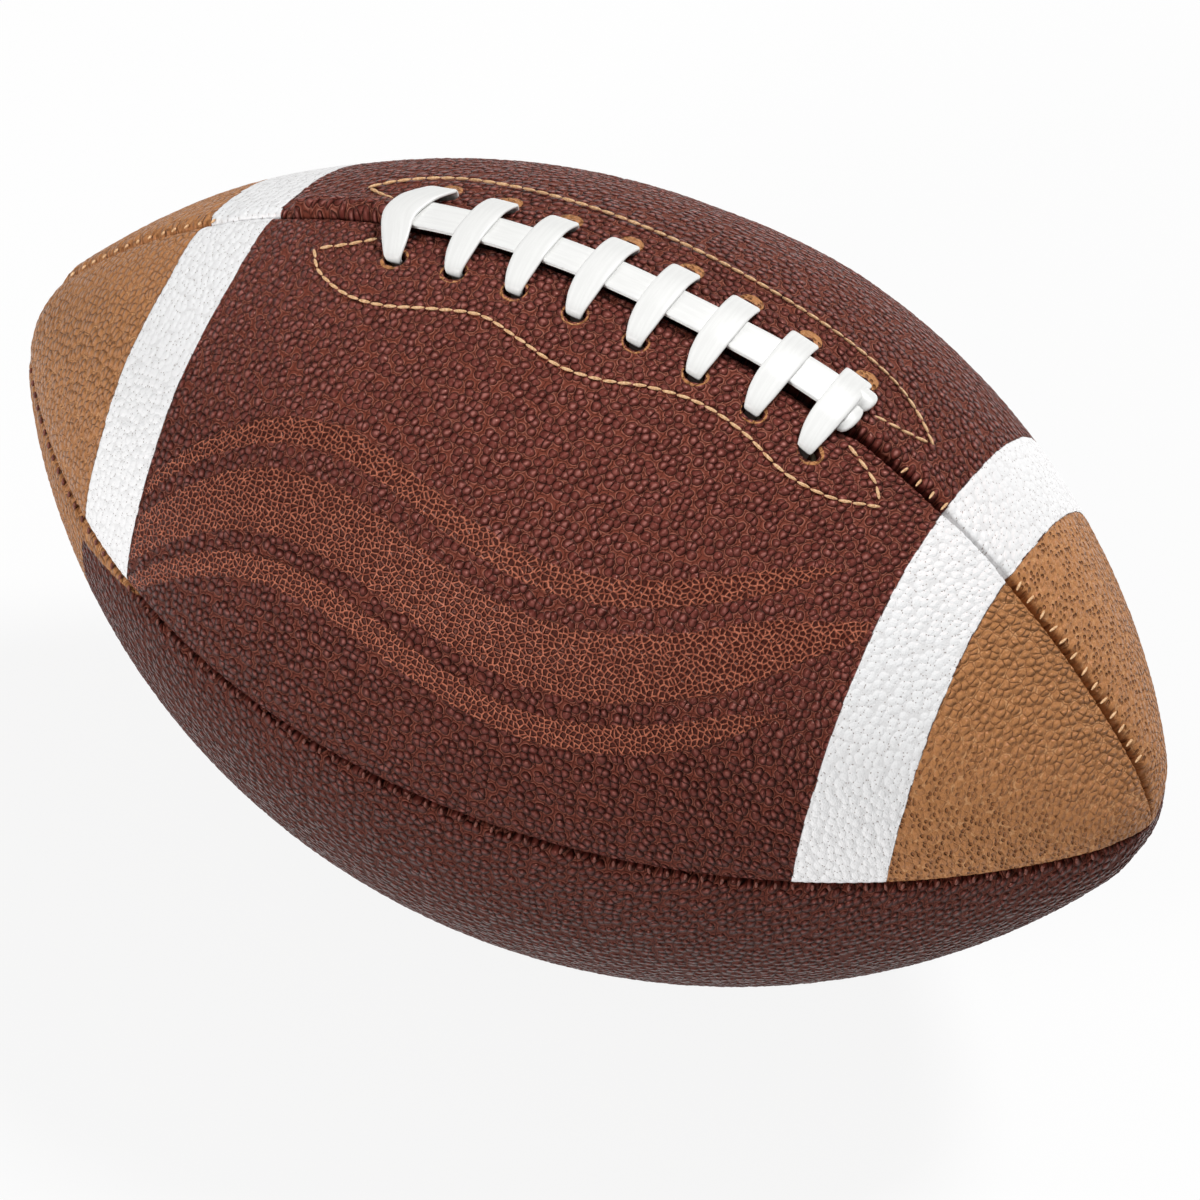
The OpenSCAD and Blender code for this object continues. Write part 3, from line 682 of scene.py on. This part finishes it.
def cutValveHole(panel):
    turn = math.radians(valveHole["turn"])
    deselectAll()
    bpy.ops.mesh.primitive_cylinder_add(
        vertices=48, radius=valveHole["radius"] * mm, depth=valveHole["cutDepth"] * mm,
        location=ballPoint(np.array(0.0), turn, -valveHole["cutSink"]), rotation=(-turn, 0, 0))
    cutFrom(panel, bpy.context.object)


def cutFrom(panel, cutter):
    # the walls of a hole are bare brown leather
    paint = cutter.data.attributes.new("paint", "FLOAT_VECTOR", "POINT")
    bare = np.full(len(cutter.data.vertices) * 3, cover["unpainted"], np.float32)
    paint.data.foreach_set("vector", bare)
    makeActive(panel)
    modifier = panel.modifiers.new("holes", "BOOLEAN")
    modifier.operation = "DIFFERENCE"
    modifier.solver = "EXACT"
    modifier.object = cutter
    bpy.ops.object.modifier_apply(modifier=modifier.name)
    bpy.data.objects.remove(cutter)
    # new corners come without paint
    paint = panel.data.attributes["paint"]
    values = np.empty(len(panel.data.vertices) * 3, np.float32)
    paint.data.foreach_get("vector", values)
    values = values.reshape(-1, 3)
    values[np.abs(values).sum(axis=1) < 1e-6] = cover["unpainted"]
    paint.data.foreach_set("vector", values.ravel())


leather = leatherMaterial()
pebbles = pebbleGroup()
# each panel: the turn in degrees that it starts from, which of its edges is the top seam,
# the node that it stands for, and the side of the seam that its lace holes are on
panelPlan = [
    ("panelFrontTop", -90, "end", "panel_front_top", -1),
    ("panelBackTop", 0, "start", "panel_back_top", 1),
    ("panelBackBottom", 90, None, "panel_back_bottom", 0),
    ("panelFrontBottom", -180, None, "panel_front_bottom", 0),
]
for name, fromDegrees, topSide, replaced, side in panelPlan:
    panel = leatherPanel(name, fromDegrees, topSide, pebbles)
    if side:
        cutHoles(panel, side)
    if name == "panelBackBottom":
        cutValveHole(panel)
    finishPiece(panel, leather, [replaced])
print("panels done")


# thin strips with a rounded section: the lace
def lengthAlong(points):
    return np.concatenate([[0], np.cumsum(np.linalg.norm(np.diff(points, axis=0), axis=1))])


def closedStrip(name, stations, sectionCount=16):
    # each station: centre (s, y, h), the way its width lies, width, thickness, all in mm over the seam
    centre = np.array([s[0] for s in stations], float)
    across = np.array([s[1] for s in stations], float)
    width = np.array([s[2] for s in stations], float)
    thick = np.array([s[3] for s in stations], float)
    way = np.gradient(centre, axis=0)
    way /= np.linalg.norm(way, axis=1)[:, None]
    face = np.cross(way, across)
    face /= np.linalg.norm(face, axis=1)[:, None]
    across = np.cross(face, way)
    count = len(centre)
    turn = np.arange(sectionCount) / sectionCount * 2 * math.pi
    flat = np.sign(np.cos(turn)) * np.abs(np.cos(turn)) ** 0.35
    tall = np.sign(np.sin(turn)) * np.abs(np.sin(turn)) ** 0.65
    points = (centre[:, None] + across[:, None] * (flat[None, :, None] * width[:, None, None] / 2)
              + face[:, None] * (tall[None, :, None] * thick[:, None, None] / 2))
    points = points.reshape(-1, 3)
    places = overSeam(points[:, 0], points[:, 1], points[:, 2])
    faces = []
    for k in range(count - 1):
        for j in range(sectionCount):
            a, b = k * sectionCount + j, k * sectionCount + (j + 1) % sectionCount
            faces.append((a, b, b + sectionCount, a + sectionCount))
    faces.append(tuple(range(sectionCount - 1, -1, -1)))
    faces.append(tuple((count - 1) * sectionCount + j for j in range(sectionCount)))
    mesh = bpy.data.meshes.new(name)
    mesh.from_pydata([tuple(p) for p in places], [], faces)
    piece = bpy.data.objects.new(name, mesh)
    bpy.context.scene.collection.objects.link(piece)
    layer = mesh.uv_layers.new(name="lay")
    corners = np.empty(len(mesh.loops), np.int32)
    mesh.loops.foreach_get("vertex_index", corners)
    wide = (flat[None, :] * width[:, None] / 2).ravel()
    long = np.repeat(lengthAlong(centre), sectionCount)
    layer.data.foreach_set("uv", np.stack([long, wide], -1)[corners].astype(np.float32).ravel())
    makeActive(piece)
    bpy.ops.object.mode_set(mode="EDIT")
    bpy.ops.mesh.select_all(action="SELECT")
    bpy.ops.mesh.normals_make_consistent(inside=False)
    bpy.ops.object.mode_set(mode="OBJECT")
    bpy.ops.object.shade_smooth()
    return piece


def smoothPath(points, steps):
    # a smooth line through the points, with every column carried along
    points = np.array(points, float)
    padded = np.vstack([2 * points[0] - points[1], points, 2 * points[-1] - points[-2]])
    found = []
    for k in range(1, len(padded) - 2):
        p0, p1, p2, p3 = padded[k - 1:k + 3]
        for t in np.arange(steps) / steps:
            found.append(0.5 * (2 * p1 + (p2 - p0) * t + (2 * p0 - 5 * p1 + 4 * p2 - p3) * t ** 2
                                + (3 * p1 - p0 - 3 * p2 + p3) * t ** 3))
    found.append(points[-1])
    return np.array(found)


laceSizes = {
    # across, height above the seam, width, thickness and shift along the seam of a cross lace, front to back
    "cross": [
        (-10.4, -8.6, 3.4, 1.4, 0.5), (-10.2, -4.4, 3.2, 1.3, 0.5), (-10.7, -3.0, 3.2, 1.2, 0.5),
        (-11.4, -2.1, 3.5, 1.15, 0.55), (-11.9, -1.3, 3.9, 1.1, 0.6), (-11.8, -0.5, 4.3, 1.1, 0.6),
        (-10.6, 0.35, 5.0, 1.1, 0.4), (-8.3, 1.25, 6.0, 1.1, 0.1),
        (-5.5, 2.1, 6.6, 1.1, -0.1), (-3.0, 2.75, 6.8, 1.1, -0.15), (0, 3.0, 6.9, 1.1, -0.15),
        (3.5, 2.9, 6.9, 1.1, -0.2), (6.5, 2.5, 6.9, 1.1, -0.3), (9.5, 1.6, 7.0, 1.1, -0.35),
        (11.8, 0.6, 7.1, 1.1, -0.35), (12.6, -0.1, 6.9, 1.1, -0.3), (12.9, -1.4, 5.6, 1.3, 0),
        (12.6, -4.2, 4.4, 1.5, 0), (12.2, -8.6, 4.2, 1.6, 0),
    ],
    # the first cross lace is drawn to the left, wider and higher: how much, about where, over what width
    "firstShift": (-3.3, 0.5, 8), "firstWider": (1.6, 2, 6), "firstHigher": (0.15, 0, 7),
    "lastShift": -0.9,
    # the long run's width and place at its left and its right, and the stretch where they change
    "runWidths": (9.0, 10.2), "runMiddles": (0.9, 3.4), "runChange": (10, 55),
    "runThickness": 0.75, "runHeight": 1.25, "layerStep": 0.8,
    "runPast": (2.4, 2.6),         # mm that it reaches past the first and the last cross lace
    "lowerBack": 0.35,             # mm that the lower layer lies further back
    "runSteps": 60, "foldSteps": 8,
    # the two tucked ends: from and to across the seam, height and width
    "ends": [(-3.2, 5.2, 1.5, 4.4), (4.4, 10.4, 2.0, 5.2)],
    # the hidden lengths: how far along from their back hole, across and height, up to the front hole
    "under": [(0, 12.4, -8.4), (3, 8.5, -8.8), (12, -8.5, -8.8), (lacing["pitch"], -11.9, -8.4)],
    "underWidth": 5.6, "underThickness": 1.4,
}


def bell(across, strength, middle, width):
    return strength * math.exp(-((across - middle) / width) ** 2)


def stripAlong(name, path, way=(1, 0, 0), sectionCount=16):
    # a strip along a path whose columns are s, across, height, width and thickness
    return closedStrip(name, [(p[:3], way, p[3], p[4]) for p in path], sectionCount)


def laceCross(index):
    sizes = laceSizes
    rows = []
    for across, height, width, thick, shift in sizes["cross"]:
        if index == 0:
            shift += bell(across, *sizes["firstShift"])
            width += bell(across, *sizes["firstWider"])
            height += bell(across, *sizes["firstHigher"])
        if index == lacing["count"] - 1:
            shift += sizes["lastShift"]
        rows.append((holeStations[index] + shift, across, height, width, thick))
    return stripAlong("laceCross", smoothPath(rows, 4))


def laceRun():
    # out along the lower layer, round the fold at the left, and back along the upper layer
    sizes = laceSizes
    low, step, back = sizes["runHeight"], sizes["layerStep"], sizes["lowerBack"]
    left, right = holeStations[0] - sizes["runPast"][0], holeStations[-1] + sizes["runPast"][1]
    steps, foldSteps = sizes["runSteps"], sizes["foldSteps"]

    def station(s, height, aside=0.0):
        share = smoothShare(s, *sizes["runChange"])
        across = np.interp(share, (0, 1), sizes["runMiddles"]) + aside
        wide = np.interp(share, (0, 1), sizes["runWidths"])
        # the strap follows the roundness of the ball across the seam
        place = (s, across, height - across ** 2 / (2 * radius))
        return place, (0, 1, -across / radius), wide, sizes["runThickness"]

    stations = [station(s, low, back) for s in np.linspace(right, left, steps)]
    for k in range(1, foldSteps):
        turn = math.pi * k / foldSteps
        height = low + (1 - math.cos(turn)) * step / 2
        place, across, wide, thick = station(left, height, back * (1 - k / foldSteps))
        stations.append(((place[0] - math.sin(turn) * step / 2, place[1], place[2]), across, wide, thick))
    stations += [station(s, low + step) for s in np.linspace(left, right, steps)]
    return closedStrip("laceRun", stations)


def laceEnds():
    # the two ends tucked under the last cross lace, as short rounded lobes
    s = holeStations[-1] + laceSizes["runPast"][1]
    lobes = []
    for low, high, top, width in laceSizes["ends"]:
        rows = [
            (s - 0.8, low, 0.6, 2.0, 1.0),
            (s - 0.2, low + 1.2, top - 0.4, width - 0.4, 1.5),
            (s + 0.2, (low + high) / 2, top, width, 1.7),
            (s, high - 1.2, top - 0.4, width - 0.6, 1.5),
            (s - 0.6, high, 0.9, 2.0, 1.0),
        ]
        lobes.append(stripAlong("laceEnd", smoothPath(rows, 5)))
    return lobes


def laceUnder():
    # the hidden lengths on the inside, from each back hole to the next front hole
    width, thick = laceSizes["underWidth"], laceSizes["underThickness"]
    runs = []
    for s in holeStations[:-1]:
        rows = [(s + ahead, across, height, width, thick) for ahead, across, height in laceSizes["under"]]
        runs.append(stripAlong("laceUnder", smoothPath(rows, 4), (1, 0.35, 0), 10))
    return runs


laceLook = {
    "shade": (0.79, 0.79, 0.775, 1), "light": (0.82, 0.82, 0.805, 1),
    "streak": 1.2, "stretch": (0.12, 1.6, 1),    # mm, and how the streaks run along the lace
    "bump": 0.15,                                # mm
}


def laceMaterial():
    look = laceLook
    material, tree, shader = newMaterial("whiteLace")
    place = addNode(tree, "ShaderNodeUVMap", {"uv_map": "lay"}).outputs[0]
    stretched = addNode(tree, "ShaderNodeVectorMath", {"operation": "MULTIPLY"},
                        {0: place, 1: look["stretch"]}).outputs[0]
    streak = noise(tree, stretched, look["streak"], 3.0).outputs[0]
    color = blendColors(tree, smoothStep(tree, streak, 0.35, 0.65), look["shade"], look["light"])
    tree.links.new(color, shader.inputs["Base Color"])
    tree.links.new(smoothStep(tree, streak, 0.3, 0.7, 0.36, 0.46), shader.inputs["Roughness"])
    addBump(tree, shader, streak, 0.35, look["bump"])
    return material


crossLaces = [laceCross(i) for i in range(lacing["count"])]
lace = joinPieces(crossLaces + [laceRun()] + laceEnds() + laceUnder(), "lace")
finishPiece(lace, laceMaterial(), ["lace"])
print("lace done")


# thread
threadLook = {"fibre": 0.5, "bump": 0.1}  # mm


def threadMaterial(name, light, dark):
    material, tree, shader = newMaterial(name)
    place = addNode(tree, "ShaderNodeTexCoord").outputs["Object"]
    fibre = noise(tree, place, threadLook["fibre"] * mm, 2.0, "3D").outputs[0]
    color = blendColors(tree, smoothStep(tree, fibre, 0.35, 0.65), light, dark)
    tree.links.new(color, shader.inputs["Base Color"])
    tree.links.new(smoothStep(tree, fibre, 0.3, 0.7, 0.5, 0.65), shader.inputs["Roughness"])
    addBump(tree, shader, fibre, 0.5, threadLook["bump"])
    return material


stitching = {
    "pitch": 3.3, "length": 3.2, "thickness": 0.78,
    "lift": 0.08, "slant": 0.07,     # mm above the cover, and how much each stitch turns from its line
    "wayReach": 1.2,                 # mm to each side over which the line's way is taken
    "reach": 71.5, "wide": 26,       # mm, what the outlines' shares are shares of
}
stitchOutlines = {
    "front": {
        "outer": [(-1, 0.47), (-0.93, 0.72), (-0.8, 0.92), (-0.66, 0.97), (-0.5, 0.89),
                  (-0.35, 0.82), (-0.2, 0.91), (-0.04, 1), (0.1, 0.95), (0.24, 0.8),
                  (0.4, 0.69), (0.56, 0.7), (0.72, 0.78), (0.87, 0.69), (1, 0.45)],
        "left": [(-0.985, 0.456), (-0.9, 0.38), (-0.82, 0.27)],
        "right": [(0.985, 0.41), (0.94, 0.29), (0.82, 0.17)],
    },
    "back": {
        "outer": [(-1, 0.44), (-0.92, 0.61), (-0.8, 0.76), (-0.66, 0.83), (-0.4, 0.87), (0, 0.88),
                  (0.4, 0.87), (0.62, 0.86), (0.78, 0.8), (0.9, 0.66), (1, 0.46)],
        "left": [(-0.985, 0.419), (-0.93, 0.34), (-0.85, 0.25)],
        "right": [(0.985, 0.441), (0.92, 0.36), (0.82, 0.26)],
    },
}


def oneStitch(length, thickness):
    deselectAll()
    bpy.ops.mesh.primitive_uv_sphere_add(segments=8, ring_count=6, radius=1, rotation=(0, math.pi / 2, 0))
    stitch = bpy.context.object
    bpy.ops.object.transform_apply(location=False, rotation=True, scale=False)
    stitch.scale = (length / 2 * mm, thickness / 2 * mm, thickness / 2 * mm)
    bpy.ops.object.transform_apply(location=False, rotation=False, scale=True)
    return stitch


def copyAlong(model, frames, name):
    # one copy of the model at each frame, as one mesh
    base = vertexPlaces(model)
    polygons = [tuple(p.vertices) for p in model.data.polygons]
    points, faces = [], []
    for k, turned in enumerate(frames):
        turned = np.array(turned)
        points.append(base @ turned[:3, :3].T + turned[:3, 3])
        faces += [tuple(v + k * len(base) for v in polygon) for polygon in polygons]
    bpy.data.objects.remove(model)
    mesh = bpy.data.meshes.new(name)
    mesh.from_pydata([tuple(p) for p in np.concatenate(points)], [], faces)
    piece = bpy.data.objects.new(name, mesh)
    bpy.context.scene.collection.objects.link(piece)
    makeActive(piece)
    bpy.ops.object.shade_smooth()
    return piece


def placeAt(at, length, places):
    return np.array([np.interp(at, length, places[:, c]) for c in range(3)])


def frameAt(place, way, out):
    way = way / np.linalg.norm(way)
    side = np.cross(out, way)
    side /= np.linalg.norm(side)
    out = np.cross(way, side)
    whole = np.eye(4)
    whole[:3, :3] = np.stack([way, side, out], axis=-1)
    whole[:3, 3] = place
    return whole


def coverPoint(s, across, lift, side):
    # s is x in mm, across is the way round from the lace seam in mm
    r = np.sqrt(bellyR ** 2 - s ** 2) - bellyDrop
    turn = side * across / r
    return np.stack([s, (r + lift) * np.sin(turn), radius + (r + lift) * np.cos(turn)], axis=-1) * mm


def patchStitches(name, outlines, side):
    frames = []
    for line in outlines.values():
        path = smoothPath(line, 12)
        s = lacing["shift"] + path[:, 0] * stitching["reach"]
        across = path[:, 1] * stitching["wide"]
        places = coverPoint(s, across, stitching["lift"], side)
        length = lengthAlong(places) / mm
        count = max(1, round(length[-1] / stitching["pitch"]))
        for k in range(count):
            at = (k + 0.5) * length[-1] / count
            middle = placeAt(at, length, places)
            way = (placeAt(at + stitching["wayReach"], length, places)
                   - placeAt(at - stitching["wayReach"], length, places))
            # roughly the way out of the ball, which leans towards its tips
            out = middle - np.array([middle[0] * 0.3, 0, radius * mm])
            aside = np.cross(out, way)
            way = way / np.linalg.norm(way) + aside / np.linalg.norm(aside) * stitching["slant"]
            frames.append(frameAt(middle, way, out))
    return copyAlong(oneStitch(stitching["length"], stitching["thickness"]), frames, name)


patchThread = threadMaterial("goldThread", (0.8, 0.52, 0.29, 1), (0.6, 0.33, 0.15, 1))
for name, key, side, replaced in [("patchStitchingFront", "front", -1, "patch_stitching_front"),
                                  ("patchStitchingBack", "back", 1, "patch_stitching_back")]:
    finishPiece(patchStitches(name, stitchOutlines[key], side), patchThread, [replaced])
print("patch stitching done")


# seam threads: the ticks that bridge each groove
seamSewing = {
    "pitch": 4.0, "depth": 0.75, "end": 158,
    "wander": 0.3, "slant": 0.25,    # how far a tick strays along the seam in mm, and how much it turns
    "seed": 400,
    # length and thickness of a tick, how far it sits towards the later panel, and its lift, in mm
    "seam_thread_top": (3.1, 0.66, 0.8, 0.35), "seam_thread_front": (1.9, 0.8, -0.3, 0.2),
    "seam_thread_back": (1.7, 0.6, 0.0, 0.0), "seam_thread_bottom": (1.7, 0.6, 0.0, 0.0),
    # on the left the ticks of the top seam are shorter and lie nearer to the gap
    "leftAside": 0.4, "leftShare": 0.5,
    # stretches of the top seam where the thread doesn't show
    "hidden": [(-109, 73), (86, 109)],
}


def seamTicks(name, degrees, node):
    sewing = seamSewing
    length, thickness, aside, lift = sewing[node]
    isTop = node == "seam_thread_top"
    frames = []
    rng = np.random.default_rng(degrees + sewing["seed"])
    count = int(2 * sewing["end"] / sewing["pitch"])
    for k in range(count + 1):
        along = -sewing["end"] + k * sewing["pitch"] + rng.uniform(-sewing["wander"], sewing["wander"])
        if isTop and any(low < along < high for low, high in sewing["hidden"]):
            continue
        onLeft = isTop and along < 0
        reach = max(outline(along)[1], 10)
        turn = math.radians(degrees) + (sewing["leftAside"] if onLeft else aside) / reach
        place = ballPoint(along, turn, -sewing["depth"] + lift)
        above = ballPoint(along, turn, 4)
        sideways = ballPoint(along, turn + 0.01, 0) - ballPoint(along, turn, 0)
        ahead = ballPoint(along + 0.5, turn, 0) - ballPoint(along - 0.5, turn, 0)
        slant = rng.uniform(-sewing["slant"], sewing["slant"])
        way = sideways / np.linalg.norm(sideways) + ahead / np.linalg.norm(ahead) * slant
        tick = frameAt(place, way, above - place)
        if onLeft:
            tick[:3, 0] *= sewing["leftShare"]
        frames.append(tick)
    return copyAlong(oneStitch(length, thickness), frames, name)


tanThread = threadMaterial("seamThread", (0.85, 0.55, 0.3, 1), (0.6, 0.33, 0.15, 1))
redThread = threadMaterial("seamThreadRed", (0.2, 0.05, 0.03, 1), (0.1, 0.024, 0.014, 1))
for name, degrees, thread, replaced in [
        ("seamThreadTop", 0, tanThread, "seam_thread_top"),
        ("seamThreadFront", -90, redThread, "seam_thread_front"),
        ("seamThreadBack", 90, redThread, "seam_thread_back"),
        ("seamThreadBottom", 180, redThread, "seam_thread_bottom")]:
    finishPiece(seamTicks(name, degrees, replaced), thread, [replaced])
print("seam threads done")


# the layers inside keep their own shapes
insideLooks = {
    # light and dark colour, roughness, and the size of the mottle in mm
    "lining": ((0.5, 0.42, 0.29, 1), (0.38, 0.31, 0.2, 1), 0.8, 0.5),
    "bladder": ((0.035, 0.032, 0.03, 1), (0.022, 0.02, 0.019, 1), 0.6, 3.0),
    "valve_body": ((0.016, 0.015, 0.014, 1), (0.011, 0.01, 0.01, 1), 0.45, 2.0),
    "valve_plug": ((0.17, 0.16, 0.15, 1), (0.13, 0.12, 0.115, 1), 0.6, 1.0),
    "lace_patch": ((0.36, 0.2, 0.1, 1), (0.22, 0.11, 0.05, 1), 0.85, 1.2),
    "lace_guard": ((0.4, 0.23, 0.11, 1), (0.26, 0.14, 0.06, 1), 0.85, 1.2),
}
insideRelief = {"bump": 0.15, "roughSpread": 0.07}  # mm, and how far the roughness varies


def insideMaterial(name, light, dark, rough, size):
    material, tree, shader = newMaterial(name + "Look")
    place = addNode(tree, "ShaderNodeTexCoord").outputs["Object"]
    mottle = noise(tree, place, size * mm, 3.0, "3D").outputs[0]
    color = blendColors(tree, smoothStep(tree, mottle, 0.35, 0.65), dark, light)
    tree.links.new(color, shader.inputs["Base Color"])
    spread = insideRelief["roughSpread"]
    tree.links.new(smoothStep(tree, mottle, 0.3, 0.7, rough - spread, rough + spread),
                   shader.inputs["Roughness"])
    addBump(tree, shader, mottle, 0.5, insideRelief["bump"])
    return material


for key, values in insideLooks.items():
    look = insideMaterial(key, *values)
    for nodeName, piece in nodes.items():
        if nodeName.startswith(key):
            piece.data.materials.clear()
            piece.data.materials.append(look)
print("inside done")


# stage
stage = {
    "floorSize": 24, "floorPlace": (0, 0, -0.0004),    # m, a hair under the ball
    "floor": (0.8, 0.8, 0.8, 1),
    "floorGlow": 0.88,               # share of plain white that a look at the floor sees
    "world": 0.23,
    # place, size and power of each lamp, and the place that they are aimed at
    "lamps": [((0.6, 1.4, 2.3), 0.7, 64), ((-0.8, -2.6, 1.1), 0.9, 56)],
    "aim": (0, 0, 0.08),
}


def addStage():
    deselectAll()
    bpy.ops.mesh.primitive_plane_add(size=stage["floorSize"], location=stage["floorPlace"])
    floor = bpy.context.object
    floor.name = "floor"
    bpy.ops.object.transform_apply(location=True, rotation=False, scale=False)
    material, tree, shader = newMaterial("paleFloor")
    shader.inputs["Base Color"].default_value = stage["floor"]
    shader.inputs["Roughness"].default_value = 0.9
    shader.inputs["Specular IOR Level"].default_value = 0.0
    paths = addNode(tree, "ShaderNodeLightPath").outputs
    seen = calc(tree, "MAXIMUM", paths["Is Camera Ray"], paths["Is Glossy Ray"])
    seen = calc(tree, "MAXIMUM", seen, paths["Is Transmission Ray"])
    seen = calc(tree, "MULTIPLY", seen, stage["floorGlow"])
    glow = addNode(tree, "ShaderNodeEmission", None, {"Color": (1, 1, 1, 1), "Strength": 1.0})
    mixed = addNode(tree, "ShaderNodeMixShader", None, {0: seen, 1: shader.outputs[0], 2: glow.outputs[0]})
    tree.links.new(mixed.outputs[0], tree.nodes["Material Output"].inputs["Surface"])
    floor.data.materials.append(material)
    world = bpy.data.worlds.new("studio")
    bpy.context.scene.world = world
    world.use_nodes = True
    tree = world.node_tree
    background = tree.nodes["Background"]
    paths = addNode(tree, "ShaderNodeLightPath").outputs
    background.inputs["Color"].default_value = (1, 1, 1, 1)
    strength = calc(tree, "MAXIMUM", paths["Is Camera Ray"], stage["world"])
    tree.links.new(strength, background.inputs["Strength"])
    for place, size, power in stage["lamps"]:
        bpy.ops.object.light_add(type="AREA", location=place)
        lamp = bpy.context.object
        lamp.data.size = size
        lamp.data.energy = power
        back = Vector(place) - Vector(stage["aim"])
        lamp.rotation_euler = back.to_track_quat("Z", "Y").to_euler()


addStage()
bpy.context.scene.view_settings.view_transform = "Standard"
print("stage done")
